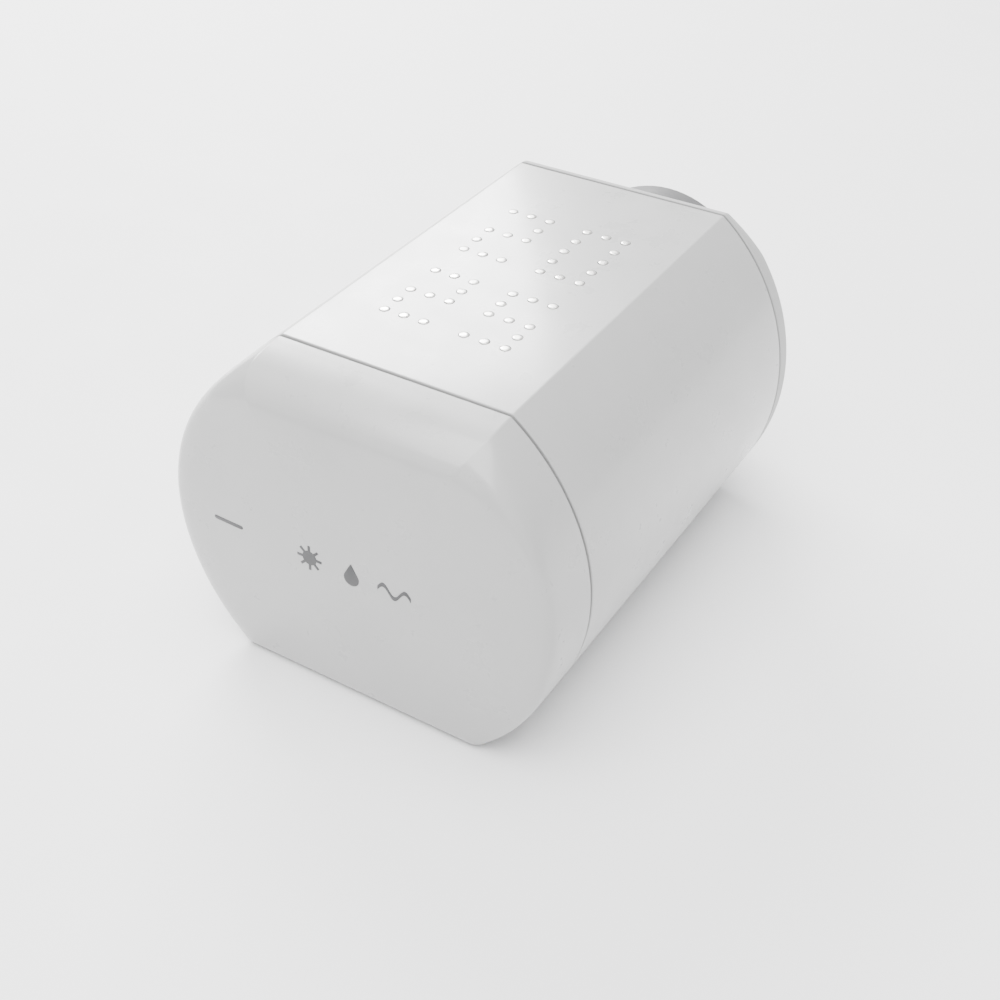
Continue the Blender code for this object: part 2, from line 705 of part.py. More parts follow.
def make_light_sensors():
    dome = [(2.5 * math.cos(a), 2.5 * math.sin(a)) for a in (0.0, 0.4, 0.8, 1.15, 1.4)]
    front = bmesh.new()
    rod_s(front, 0.0, SENSOR_Z, [(3.0, 3.1), (3.0, 2.2), (2.5, 2.2)] + [(r, 1.2 - h) for r, h in dome], 20)
    add_object("light_sensor_front", front, "lens_clear")
    for side, name in ((-1, "light_sensor_left"), (1, "light_sensor_right")):
        bm = bmesh.new()
        steps = [(2.4, side * 12.6), (2.4, side * 13.5), (2.0, side * 13.5)]
        steps += [(r * 0.8, side * (14.5 + h * 0.8)) for r, h in dome]
        rod_x(bm, 0.4, SENSOR_Z, steps, 20)
        add_object(name, bm, "lens_clear")


def make_light_carrier():
    bm = bmesh.new()
    slab(bm, -12.3, 12.3, -2.2, 3.1, SENSOR_Z - 6.2, SENSOR_Z - 3.8)
    obj = add_object("light_sensor_carrier", bm, "chip_black")
    arms = bmesh.new()
    for side in (-1, 1):
        xs = sorted((side * 9.6, side * 12.3))
        slab(arms, xs[0], xs[1], -2.2, 3.1, SENSOR_Z - 4.5, SENSOR_Z + 3.0)
    join(obj, arms)


def make_temperature_sensor():
    bm = bmesh.new()
    steps = [(1.3 * math.sin(a), 5.3 - 1.5 * math.cos(a)) for a in (0.3, 0.8, 1.3, 1.8, 2.3, 2.75)]
    post(bm, -12.0, 55.0, steps, 16)
    obj = add_object("temperature_sensor", bm, "bead_black")
    legs = bmesh.new()
    for x in (-12.55, -11.45):
        slab(legs, x - 0.2, x + 0.2, 54.8, 55.2, 5.6, 8.7)
    join(obj, legs)


def make_wind_sensor():
    nozzle = bmesh.new()
    tube(nozzle, 0.0, NOZZLE_S, [(7.0, 0.2), (7.0, 2.7), (8.2, 2.7), (8.2, 4.0), (6.6, 4.0), (6.6, 18.0),
                                 (5.2, 18.0), (5.2, 1.2), (6.0, 0.2)])
    add_object("wind_nozzle", nozzle, "white_base")
    chip = bmesh.new()
    slab(chip, -2.6, 2.6, NOZZLE_S - 0.35, NOZZLE_S + 0.35, 7.0, 17.0)
    add_object("wind_element", chip, "ceramic_white")
    holder = bmesh.new()
    slab(holder, -4.2, 4.2, NOZZLE_S - 2.0, NOZZLE_S + 2.0, 17.3, 21.0)
    obj = add_object("wind_holder", holder, "chip_black")
    disc = bmesh.new()
    post(disc, 0.0, NOZZLE_S, [(7.6, 18.3), (7.6, 20.0)])
    join(obj, disc)


def make_grommets():
    for (x, s), name in zip(GROMMETS, ("grommet_left", "grommet_right")):
        bm = bmesh.new()
        tube(bm, x, s, [(6.5, 0.1), (6.5, 1.0), (4.8, 1.0), (4.8, 2.65), (6.3, 2.65), (6.3, 3.6),
                        (4.6, 4.6), (3.0, 4.6), (3.0, 0.1)], 20)
        add_object(name, bm, "grommet_rubber")


def make_label():
    bm = bmesh.new()
    slab(bm, -1.5, 17.5, 34.5, 63.5, 0.1, 0.35)
    add_object("rating_label", bm, "label_silver")


# ---------------------------------------------------------------- marks on the cap

def face_s(x, z):
    """Front face of the cap near the middle height."""
    k = math.hypot(x / (WIDTH / 2), (z - MID_Z) / HALF_H)
    return -cap_reach(k, z) - 0.15


def mark_prism(bm, pts, thick=0.25):
    """A thin raised mark: pts are (x, z) anticlockwise; it follows the cap's bow."""
    front = [world(x, face_s(x, z) - thick, z) for x, z in pts]
    back = [world(x, face_s(x, z), z) for x, z in pts]
    loft(bm, [back, front])


def ring_mark(name, pts):
    bm = bmesh.new()
    mark_prism(bm, pts)
    add_object(name, bm, "mark_grey")


def sun_points(cx, cz, r_in, r_out, rays=8):
    """A disc with short rays, as one outline."""
    pts = []
    for i in range(rays):
        a = 2 * math.pi * i / rays
        for da, r in ((-0.27, r_in), (-0.16, r_in), (-0.09, r_out), (0.09, r_out), (0.16, r_in), (0.27, r_in)):
            pts.append((cx + r * math.cos(a + da), cz + r * math.sin(a + da)))
    return pts


def drop_points(cx, cz, r):
    angles = [math.radians(150 + 240 * i / 12) for i in range(13)]
    pts = [(cx + r * math.cos(a), cz + r * math.sin(a)) for a in angles]
    pts.append((cx, cz + 2 * r))
    return pts


def wave_points(x0, x1, cz, amp, width, turns=1.5, n=18):
    mids = []
    for i in range(n + 1):
        t = i / n
        mids.append((x0 + (x1 - x0) * t, cz + amp * math.sin(2 * math.pi * turns * t)))
    low = [(x, z - width / 2) for x, z in mids]
    high = [(x, z + width / 2) for x, z in reversed(mids)]
    return low + high


def make_marks():
    """Plain weather symbols: a sun, a drop and a wave of wind; and a short dash to the left."""
    ring_mark("mark_sun", sun_points(-9.4, MARK_Z, 1.8, 3.2))
    ring_mark("mark_drop", drop_points(1.4, MARK_Z - 0.7, 1.9))
    ring_mark("mark_wind", wave_points(8.0, 16.2, MARK_Z, 1.3, 1.0))
    ring_mark("mark_dash", [(-35.5, MARK_Z - 0.45), (-27.5, MARK_Z - 0.45), (-27.5, MARK_Z + 0.45),
                            (-35.5, MARK_Z + 0.45)])


# ---------------------------------------------------------------- bracket body

def stadium(r, z_lo, z_hi, s, n=20):
    top = [(r * math.cos(math.pi * i / n), z_hi - r + r * math.sin(math.pi * i / n)) for i in range(n + 1)]
    low = [(-x, z_lo + z_hi - z) for x, z in top]
    return [world(x, s, z) for x, z in top + low]


def crescent_ring(r0, r1, s, n=16):
    lo = math.radians(38)
    hi = math.radians(142)
    cz = PLATE_HI - PLATE_R
    angles = [lo + (hi - lo) * i / n for i in range(n + 1)]
    outer = [(r0 * math.cos(a), cz + r0 * math.sin(a)) for a in angles]
    inner = [(r1 * math.cos(a), cz + r1 * math.sin(a)) for a in reversed(angles)]
    return [world(x, s, z) for x, z in outer + inner]


def make_bracket():
    bm = bmesh.new()
    front = WALL_S - PLATE_T
    back = HOOD_L + REAR_D
    edge = 0.5
    loft(bm, [stadium(PLATE_R - edge, PLATE_LO + edge, PLATE_HI - edge, front),
              stadium(PLATE_R, PLATE_LO, PLATE_HI, front + edge), stadium(PLATE_R, PLATE_LO, PLATE_HI, WALL_S)])
    obj = add_object("wall_bracket", bm, "bracket_grey")
    low = RAIL_LO + 2.0
    high = RAIL_HI - 0.8
    web = bmesh.new()
    slab(web, -WEB_X, WEB_X, back + 4.0, front + 1.0, low, high)
    join(obj, web)
    flange = bmesh.new()
    slab(flange, -FLANGE_X, FLANGE_X, back + SLIDE_GAP, back + SLIDE_GAP + FLANGE_T, low, high)
    join(obj, flange)
    lip = bmesh.new()
    radii = (PLATE_R - 0.01, PLATE_R - LIP_T)
    loft(lip, [crescent_ring(*radii, front - LIP_D), crescent_ring(*radii, front + 1.0)])
    join(obj, lip)
    cut_bracket(obj, front, back)


def slot_ring(cx, z0, z1, r, s, n=8):
    top = [(cx + r * math.cos(math.pi * i / n), z1 - r + r * math.sin(math.pi * i / n)) for i in range(n + 1)]
    low = [(cx - r * math.cos(math.pi * i / n), z0 + r - r * math.sin(math.pi * i / n)) for i in range(n + 1)]
    return [world(x, s, z) for x, z in top + low]


def cut_bracket(obj, front, back):
    holes = bmesh.new()
    for x in (-WALL_HOLE_X, WALL_HOLE_X):
        loft(holes, [slot_ring(x, *WALL_HOLE, front - 1), slot_ring(x, *WALL_HOLE, WALL_S + 1)])
    slab(holes, -CORE_X, CORE_X, back - 1.0, WALL_S - 4.0, RAIL_LO, RAIL_HI - 8.0)
    cut(obj, holes)


# ---------------------------------------------------------------- assembly

def pair(s, z):
    return [(-SCREW_X, s, z), (SCREW_X, s, z)]


def clear_scene():
    for obj in list(bpy.data.objects):
        bpy.data.objects.remove(obj)


def build():
    clear_scene()
    make_bracket()
    make_front_cap()
    make_gasket("front_gasket", -SEAM - 1.0, -0.12)
    make_marks()
    make_chassis()
    make_rear_cover()
    make_gasket("rear_gasket", HOOD_L + 0.12, HOOD_L + SEAM + 1.0)
    make_screws("cap_screw", pair(CAP_SCREW_S, 1.25), "u", 2.3, 1.2, 3.4)
    make_screws("rear_screw", pair(REAR_WALL_S - 0.2, REAR_SCREW_Z), "s", 2.8, 1.2, 8.0)
    make_main_board()
    make_screws("board_screw", [(x, s, BOARD_Z + BOARD_T + 0.2) for x, s in STANDOFFS], "z", 2.6, 1.2, 6.5)
    make_terminal()
    make_controller()
    make_capacitors()
    make_coil()
    make_button()
    make_led()
    make_rain_socket()
    make_light_board()
    make_screws("light_board_screw", pair(3.2, LIGHT_SCREW_Z), "s", 2.2, 1.0, 3.4)
    make_light_sensors()
    make_light_carrier()
    make_temperature_sensor()
    make_wind_sensor()
    make_grommets()
    make_label()
    make_hood()
    make_rain_pads()
    make_rain_board()
    make_retainer("board_retainer_front", 8.4)
    make_retainer("board_retainer_rear", 85.0)
    make_heater()
    make_rain_plug()
    make_ribbon()


build()
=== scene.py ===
"""Looks of the rain, sun and wind station: fine shells and edges, procedural surfaces, floor, light and camera.

Local drafting coordinates are millimetres: x, s (back from the front seam), z (up from the underside).
"""
import math

import bmesh
import bpy
from mathutils import Matrix, Vector

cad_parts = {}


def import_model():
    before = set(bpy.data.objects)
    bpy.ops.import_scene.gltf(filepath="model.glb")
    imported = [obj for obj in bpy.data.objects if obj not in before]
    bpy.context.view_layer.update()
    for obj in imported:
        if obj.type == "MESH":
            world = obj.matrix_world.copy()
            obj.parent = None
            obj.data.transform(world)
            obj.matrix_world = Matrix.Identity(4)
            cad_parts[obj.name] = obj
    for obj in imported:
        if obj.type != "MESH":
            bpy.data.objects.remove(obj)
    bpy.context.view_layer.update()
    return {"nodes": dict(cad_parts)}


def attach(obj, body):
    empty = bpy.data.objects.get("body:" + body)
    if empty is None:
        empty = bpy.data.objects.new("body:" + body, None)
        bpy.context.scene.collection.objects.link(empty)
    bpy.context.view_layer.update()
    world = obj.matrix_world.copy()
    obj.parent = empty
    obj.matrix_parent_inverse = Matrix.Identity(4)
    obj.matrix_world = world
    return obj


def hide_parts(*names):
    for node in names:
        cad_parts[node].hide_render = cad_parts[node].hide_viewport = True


MM = 0.001

# Dimensions of the part, millimetres.
HALF_W = 47.96          # half width of the barrel section
HEIGHT = 75.0           # height at the front seam
RISE = 4.0              # the top falls towards the front by this much
HALF_H = 47.7           # vertical half axis of the section
MID_Z = 36.2            # height of the widest point
HOOD_L = 98.0           # front seam to rear seam
CAP_D = 17.0            # depth of the front cap
CAP_BOW = 1.0           # extra bow of its face
CAP_P_LOW = 17.0        # roundness of its edge below the middle
CAP_P_TOP = 4.5         # and at the top
CAP_FALL = 0.05         # extra slope of its top
SOFT_Z = 66.0           # top edges of cap and rear cover fall away above this height
REAR_D = 4.8            # rear cover
BRACKET_D = 26.0        # rear cover to wall
WALL = 2.4              # wall of hood and cap
SEAM = 0.45             # half of a seam's gap
PAD_R = 1.1             # radius of a rain pad
PAD_GAP = 0.14          # gap round it
PAD_X = -0.6            # middle column of the pads
PAD_PITCH_X = 5.0       # distance between columns
PAD_ROWS = 5            # rows in one pattern
FRONT_ROWS = (19.7, 4.94)   # first row and pitch of the two front patterns
REAR_ROWS = (51.2, 5.48)    # and of the two rear ones
PLATE_T = 4.5           # thickness of the bracket's plate
PLATE_R = 26.0          # radius of its round ends
PLATE_LO = 8.1          # its lowest point
PLATE_HI = 67.9         # its highest point
RAIL_LO = 14.0          # lower and upper end of the rear cover's rails
RAIL_HI = 58.0
MARK_Z = 36.2           # height of the row of marks
REAR_DROP = 2.4         # the rear cover's top edge falls away by this much
WALL_S = HOOD_L + REAR_D + BRACKET_D
ORIGIN_Z = (PLATE_LO + PLATE_HI) / 2

# Finish of the edges, millimetres and counts.
TOP_R = 0.9             # corner between the flat top and the sides
LOW_R = 2.4             # lower corners of cap and rear cover
EDGE_R = 0.3            # broken edge at each seam
EDGE_N = 3              # segments of a broken edge
SIDE_N = 52             # segments of each curved side
ARC_N = 6               # segments of a corner
ROUND_N = 28            # segments of a round piece
SHARP_ANGLE = math.radians(50)


def world(x, s, z):
    return Vector((x * MM, (s - WALL_S) * MM, (z - ORIGIN_Z) * MM))


def top_z(s):
    return HEIGHT + RISE * s / HOOD_L


def lift(z, s):
    return z * top_z(s) / HEIGHT


# ---------------------------------------------------------------- mesh helpers

def bridge(bm, ring_a, ring_b):
    count = len(ring_a)
    for i in range(count):
        j = (i + 1) % count
        bm.faces.new((ring_a[i], ring_a[j], ring_b[j], ring_b[i]))


def loft(bm, rings, ends=True):
    """Closed body through rings of equal length, capped at both ends or closed on itself."""
    made = [[bm.verts.new(p) for p in ring] for ring in rings]
    for a, b in zip(made, made[1:]):
        bridge(bm, a, b)
    if ends:
        bm.faces.new(list(reversed(made[0])))
        bm.faces.new(made[-1])
    else:
        bridge(bm, made[-1], made[0])


def block(bm, x0, x1, s0, s1, z0, z1, edge=0.3, steps=3):
    """A block with rounded edges between two corners."""
    made = bmesh.ops.create_cube(bm, size=1.0)["verts"]
    low = world(x0, s0, z0)
    high = world(x1, s1, z1)
    for v in made:
        v.co = Vector([low[i] if v.co[i] < 0 else high[i] for i in range(3)])
    edges = list({e for v in made for e in v.link_edges})
    bmesh.ops.bevel(bm, geom=edges, offset=edge * MM, segments=steps, profile=0.5, affect="EDGES",
                    clamp_overlap=True)


def side_block(bm, side, inner, outer, *rest):
    """A block on one side of the middle plane, from its inner to its outer distance."""
    x0, x1 = sorted((side * inner, side * outer))
    block(bm, x0, x1, *rest)


def circle(r, n):
    """n points (x, y) round the origin."""
    angles = [2 * math.pi * i / n for i in range(n)]
    return [(r * math.cos(g), r * math.sin(g)) for g in angles]


def turned(bm, x, s, steps, n=ROUND_N):
    """A solid of revolution about a vertical axis: steps are (radius, height)."""
    loft(bm, [[world(x + px, s + ps, z) for px, ps in circle(r, n)] for r, z in steps])


def new_object(name, bm, slot, body=None, nodes=(), weighted=True):
    """Makes the mesh an object with its material, riding on a body and replacing nodes."""
    bmesh.ops.recalc_face_normals(bm, faces=bm.faces)
    mesh = bpy.data.meshes.new(name)
    bm.to_mesh(mesh)
    bm.free()
    obj = bpy.data.objects.new(name, mesh)
    bpy.context.scene.collection.objects.link(obj)
    mesh.materials.append(MATS[slot])
    mesh.shade_smooth()
    mesh.set_sharp_from_angle(angle=SHARP_ANGLE)
    if weighted:
        soften(obj)
    if body:
        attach(obj, body)
    if nodes:
        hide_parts(*nodes)
    return obj


def soften(obj):
    """Flat faces keep their shading up to their rounded edges."""
    mod = obj.modifiers.new("weighted", "WEIGHTED_NORMAL")
    mod.weight = 90
    mod.keep_sharp = True


def cut(obj, bm):
    """Takes a closed tool mesh out of the object."""
    mesh = bpy.data.meshes.new("tool")
    bmesh.ops.recalc_face_normals(bm, faces=bm.faces)
    bm.to_mesh(mesh)
    bm.free()
    tool = bpy.data.objects.new("tool", mesh)
    bpy.context.scene.collection.objects.link(tool)
    mod = obj.modifiers.new("cut", "BOOLEAN")
    mod.solver = "EXACT"
    mod.operation = "DIFFERENCE"
    mod.object = tool
    with bpy.context.temp_override(object=obj, active_object=obj, selected_objects=[obj]):
        bpy.ops.object.modifier_move_to_index(modifier="cut", index=0)
        bpy.ops.object.modifier_apply(modifier="cut")
    bpy.data.objects.remove(tool)
    bpy.data.meshes.remove(mesh)
    obj.data.shade_smooth()
    obj.data.set_sharp_from_angle(angle=SHARP_ANGLE)


# ---------------------------------------------------------------- the barrel section

def corner_arc(off, r, z, first, last):
    """Points of an arc of radius r, and the side's parameter there. None stands for the side's own angle."""
    a = HALF_W - off - r
    b = HALF_H - off - r
    t = math.asin((z - MID_Z) / b)
    side = math.atan2(math.sin(t) / b, math.cos(t) / a)
    lo = side if first is None else first
    hi = side if last is None else last
    cx = a * math.cos(t)
    cz = MID_Z + b * math.sin(t)
    angles = [lo + (hi - lo) * i / ARC_N for i in range(ARC_N + 1)]
    return [(cx + r * math.cos(g), cz + r * math.sin(g)) for g in angles], t


def half_outline(off, r_top=TOP_R, r_low=LOW_R):
    """Right half of the section from the top to the underside, with true arcs at its corners."""
    upper, t0 = corner_arc(off, r_top, HEIGHT - off - r_top, math.pi / 2, None)
    lower, t1 = corner_arc(off, r_low, off + r_low, None, -math.pi / 2)
    a = HALF_W - off
    b = HALF_H - off
    side = []
    for i in range(1, SIDE_N):
        t = t0 + (t1 - t0) * i / SIDE_N
        side.append((a * math.cos(t), MID_Z + b * math.sin(t)))
    return upper + side + lower


def full_outline(off):
    right = half_outline(off)
    return right + [(-x, z) for x, z in reversed(right)]


def section_ring(off, s):
    return [world(x, s, lift(z, s)) for x, z in full_outline(off)]


# ---------------------------------------------------------------- rain pads

def pad_cells():
    """Cells (column, row) of the three pad patterns, each three columns wide."""
    last = PAD_ROWS - 1
    bars = [(c, r) for c in range(3) for r in (0, 2, last)]
    ess = bars + [(2, 1), (0, 3)]
    zed = bars + [(0, 1), (2, 3)]
    loop = [(c, r) for c in range(3) for r in range(PAD_ROWS) if c != 1 or r in (0, last)]
    return ess, zed, loop


def pad_places():
    """(x, s) of every pad: two patterns in front and two behind, beside an empty middle column."""
    ess, zed, loop = pad_cells()
    patterns = ((ess, 1, FRONT_ROWS), (zed, -3, FRONT_ROWS), (loop, 1, REAR_ROWS), (zed, -3, REAR_ROWS))
    places = []
    for cells, column, rows in patterns:
        places += [(PAD_X + (column + c) * PAD_PITCH_X, rows[0] + r * rows[1]) for c, r in cells]
    return places


def make_pads():
    """Domed pads, and the strip that joins them in front, under the hood's top."""
    bm = bmesh.new()
    for x, s in pad_places():
        z = top_z(s)
        turned(bm, x, s, [(PAD_R, z - WALL - 0.4), (PAD_R, z + 0.02), (PAD_R - 0.05, z + 0.09),
                          (PAD_R - 0.14, z + 0.13), (0.5, z + 0.145)])
    half, front, back, thick = 18.0, 16.0, 18.0, 0.28
    low = top_z(back) - WALL - 0.62
    block(bm, -half, half, front, back, low, low + thick, 0.08, 2)
    new_object("pads_fine", bm, "pad_nickel", "hood", ["rain_pads"])


# ---------------------------------------------------------------- hood

HOOD_LOW_R = 0.35       # broken lower edge
INNER_R = 0.4           # inner corner under the top


def hood_ring(off, s):
    """Outer face from left to right, then the inner face back again."""
    outer = half_outline(off, TOP_R, HOOD_LOW_R)
    inner = half_outline(WALL, INNER_R, 0.15)
    out_pts = [(-x, z) for x, z in reversed(outer)] + outer
    in_pts = fit_inner(inner)
    back = [(x, z) for x, z in reversed(in_pts)] + [(-x, z) for x, z in in_pts]
    return [world(x, s, lift(z, s)) for x, z in out_pts + back]


def fit_inner(inner):
    """The inner face of the hood runs down to the underside instead of stopping at a floor."""
    a = HALF_W - WALL
    b = HALF_H - WALL
    t0 = math.asin((HEIGHT - WALL - INNER_R - MID_Z) / (b - INNER_R))
    t1 = math.asin(-MID_Z / b)
    upper = inner[:ARC_N + 1]
    rest = len(inner) - len(upper)
    side = []
    for i in range(1, rest + 1):
        t = t0 + (t1 - t0) * i / rest
        side.append((a * math.cos(t), MID_Z + b * math.sin(t)))
    return upper + side


def edge_steps(s_edge, inward):
    """(inset, s) pairs round a broken seam edge; inward is +1 where the body lies behind the edge."""
    steps = []
    for i in range(EDGE_N + 1):
        g = math.pi / 2 * i / EDGE_N
        steps.append((EDGE_R * (1 - math.sin(g)), s_edge + inward * EDGE_R * (1 - math.cos(g))))
    return steps


def make_hood():
    bm = bmesh.new()
    places = edge_steps(SEAM * 0.6, 1)
    places += [(0.0, HOOD_L * f) for f in (0.1, 0.3, 0.5, 0.7, 0.9)]
    places += list(reversed(edge_steps(HOOD_L - SEAM * 0.6, -1)))
    made = [[bm.verts.new(p) for p in hood_ring(off, s)] for off, s in places]
    for a, b in zip(made, made[1:]):
        bridge(bm, a, b)
    for ring in (made[0], made[-1]):
        half = len(ring) // 2
        for i in range(half - 1):
            bm.faces.new((ring[i], ring[i + 1], ring[2 * half - 2 - i], ring[2 * half - 1 - i]))
    obj = new_object("hood_fine", bm, "white_shell", "hood", ["hood_shell"])
    holes = bmesh.new()
    for x, s in pad_places():
        z = top_z(s)
        turned(holes, x, s, [(PAD_R + PAD_GAP, z - WALL - 1.0), (PAD_R + PAD_GAP, z + 1.0)])
    cut(obj, holes)


# ---------------------------------------------------------------- front cap

LAND = 1.25             # depth of the gasket's seat in cap and rear cover
CAP_SCREW_X = 12.0
CAP_SCREW_S = -3.3


def cap_power(z):
    """Sharpness of the cap's edge: constant below the middle, softer towards the top."""
    if z <= MID_Z:
        return CAP_P_LOW
    share = min(1.0, (z - MID_Z) / (HEIGHT - MID_Z))
    return CAP_P_LOW + (CAP_P_TOP - CAP_P_LOW) * share ** 2


def soft_share(z):
    """0 below the height where the top edges start to fall away, 1 at the top."""
    return min(1.0, max(0.0, (z - SOFT_Z) / (HEIGHT - SOFT_Z)))


def cap_reach(k, z):
    """How far the cap stands in front of the seam at fraction k of the way to its edge."""
    p = cap_power(z)
    return CAP_D * max(0.0, 1 - k ** p) ** (1 / p) + CAP_BOW * (1 - k * k)


def cap_ring(off, k, back=0.0):
    """Ring of the cap's face; off and back move it inwards for the inner face."""
    ring = []
    for x, z in full_outline(off):
        zk = MID_Z + (z - MID_Z) * k
        reach = cap_reach(k, zk)
        s = back - reach
        ring.append(world(x * k, s, lift(zk, s) - CAP_FALL * reach * soft_share(zk)))
    return ring


def cap_fractions():
    """Fractions from edge to centre, close together where the edge turns."""
    near = [1 - 10 ** (-4 + 0.25 * i) for i in range(11)]
    flat = [0.955, 0.94, 0.92, 0.9, 0.875, 0.85, 0.82, 0.79, 0.75, 0.7, 0.64, 0.56, 0.46, 0.34, 0.22, 0.1]
    return near + flat


def make_cap():
    bm = bmesh.new()
    step = -SEAM - LAND
    outer = [section_ring(1.0, -SEAM)]
    outer += [section_ring(off, s) for off, s in edge_steps(-SEAM, -1)]
    outer += [cap_ring(0.0, k) for k in cap_fractions()]
    inner = [section_ring(1.0, step), section_ring(WALL, step), section_ring(WALL, -CAP_D * 0.2)]
    inner += [cap_ring(WALL, k, WALL) for k in (0.996, 0.98, 0.94, 0.85, 0.6, 0.14)]
    made = [[bm.verts.new(p) for p in ring] for ring in outer]
    hollow = [[bm.verts.new(p) for p in ring] for ring in inner]
    for rings in (made, hollow):
        for a, b in zip(rings, rings[1:]):
            bridge(bm, a, b)
        bm.faces.new(rings[-1])
    bridge(bm, made[0], hollow[0])
    obj = new_object("cap_fine", bm, "white_shell", "housing", ["front_cap"])
    holes = bmesh.new()
    for x in (-CAP_SCREW_X, CAP_SCREW_X):
        turned(holes, x, CAP_SCREW_S, [(2.6, -1.0), (2.6, 1.4)], 24)
        turned(holes, x, CAP_SCREW_S, [(1.5, 1.0), (1.5, 5.0)], 24)
    cut(obj, holes)


def make_seam_shade_band(name, s0, s1):
    """A closed black band with rounded edges, set back from the seam: painted shade, a dark band that stands in for
    the shadow in the seam's gap.
    """
    bm = bmesh.new()
    profile = [(1.4, s0 + 0.15), (1.3, s0 + 0.3), (1.3, s1 - 0.3), (1.4, s1 - 0.15), (1.6, s1), (2.2, s1),
               (2.3, s1 - 0.15), (2.3, s0 + 0.15), (2.2, s0), (1.6, s0)]
    loft(bm, [section_ring(off, s) for off, s in profile], ends=False)
    new_object(name + "_fine", bm, "gasket_black", "housing", [name])


# ---------------------------------------------------------------- rear cover

REAR_EDGE = 0.9         # rounding of the rear edge
RAIL_END = 8.2          # how far the rails stand behind the cover
RAIL_LIP = 5.2          # where their inner lips start


def rear_ring(off, s):
    """Ring of the rear cover: its top edge falls away towards the back."""
    depth = max(0.0, (s - HOOD_L - SEAM) / (REAR_D - SEAM))
    ring = []
    for x, z in full_outline(off):
        ring.append(world(x, s, lift(z, s) - REAR_DROP * soft_share(z) * depth ** 2))
    return ring


def make_rear_cover():
    bm = bmesh.new()
    s0 = HOOD_L + SEAM
    back = HOOD_L + REAR_D
    edge = REAR_EDGE
    rings = [section_ring(WALL, s0 + LAND), section_ring(1.0, s0 + LAND), section_ring(1.0, s0)]
    rings += [rear_ring(off, s) for off, s in edge_steps(s0, 1)]
    rings += [rear_ring(0.0, s0 + step) for step in (0.8, 1.4, 2.0, 2.5)]
    for i in range(7):
        g = math.pi / 2 * i / 6
        rings.append(rear_ring(edge * (1 - math.cos(g)), back - edge * (1 - math.sin(g))))
    rings.append(rear_ring(edge + 1.0, back))
    loft(bm, rings)
    for side in (-1, 1):
        side_block(bm, side, 17.1, 20.5, back - 0.6, back + RAIL_END, RAIL_LO, RAIL_HI, 0.5)
        side_block(bm, side, 13.1, 18.0, back + RAIL_LIP, back + RAIL_END, RAIL_LO, RAIL_HI, 0.5)
    block(bm, -20.5, 20.5, back - 0.6, back + RAIL_END, RAIL_HI - 0.5, RAIL_HI + 2.5, 0.5)
    new_object("rear_cover_fine", bm, "white_base", "housing", ["rear_cover"])


# ---------------------------------------------------------------- bracket

LIP_T = 2.6             # thickness of the curved lip
LIP_D = 9.0             # how far it stands in front of the plate
LIP_HALF = 52           # degrees of it on each side of the top
HOLE_X = 19.0           # long holes in the plate
HOLE_Z = (34.25, 41.75)
HOLE_R = 2.5
WEB_IN = 8.9            # web and flange that run in the cover's rails
WEB_OUT = 12.7
FLANGE_OUT = 16.7
WEB_S = (4.0, 0.8)      # behind the rear cover, and into the plate
FLANGE_S = (0.4, 4.85)  # behind the rear cover
LAP = 0.07              # cross pieces stop this much short, so no two faces coincide


def stadium(r, s, inset=0.0, n=36):
    """Outline of the plate: an upright oval with straight sides."""
    lo = PLATE_LO + inset
    hi = PLATE_HI - inset
    top = [(r * math.cos(math.pi * i / n), hi - r + r * math.sin(math.pi * i / n)) for i in range(n + 1)]
    low = [(-x, lo + hi - z) for x, z in top]
    return [world(x, s, z) for x, z in top + low]


def slot_ring(cx, z0, z1, r, s, n=12):
    arc = [(r * math.cos(math.pi * i / n), r * math.sin(math.pi * i / n)) for i in range(n + 1)]
    top = [(cx + x, z1 - r + z) for x, z in arc]
    low = [(cx - x, z0 + r - z) for x, z in arc]
    return [world(x, s, z) for x, z in top + low]


def lip_section(angle, s0, s1):
    """Section of the curved lip at an angle about the plate's upper centre, with rounded free corners."""
    cz = PLATE_HI - PLATE_R
    r1 = PLATE_R - 0.05
    r0 = PLATE_R - LIP_T
    e = 0.6
    c = 0.18
    pts = [(r0, s1), (r0, s0 + e), (r0 + c, s0 + c), (r0 + e, s0),
           (r1 - e, s0), (r1 - c, s0 + c), (r1, s0 + e), (r1, s1)]
    return [world(r * math.cos(angle), s, cz + r * math.sin(angle)) for r, s in pts]


def make_bracket():
    bm = bmesh.new()
    front = WALL_S - PLATE_T
    back = HOOD_L + REAR_D
    edge = 0.9
    rings = []
    for i in range(6):
        g = math.pi / 2 * i / 5
        inset = edge * (1 - math.sin(g))
        rings.append(stadium(PLATE_R - inset, front + edge * (1 - math.cos(g)), inset))
    rings.append(stadium(PLATE_R, WALL_S - 0.3))
    rings.append(stadium(PLATE_R - 0.3, WALL_S, 0.3))
    loft(bm, rings)
    obj = new_object("bracket_fine", bm, "bracket_grey", "bracket", ["wall_bracket"])
    holes = bmesh.new()
    for x in (-HOLE_X, HOLE_X):
        loft(holes, [slot_ring(x, *HOLE_Z, HOLE_R, front - 1), slot_ring(x, *HOLE_Z, HOLE_R, WALL_S + 1)])
    cut(obj, holes)
    make_bracket_rail(front, back)


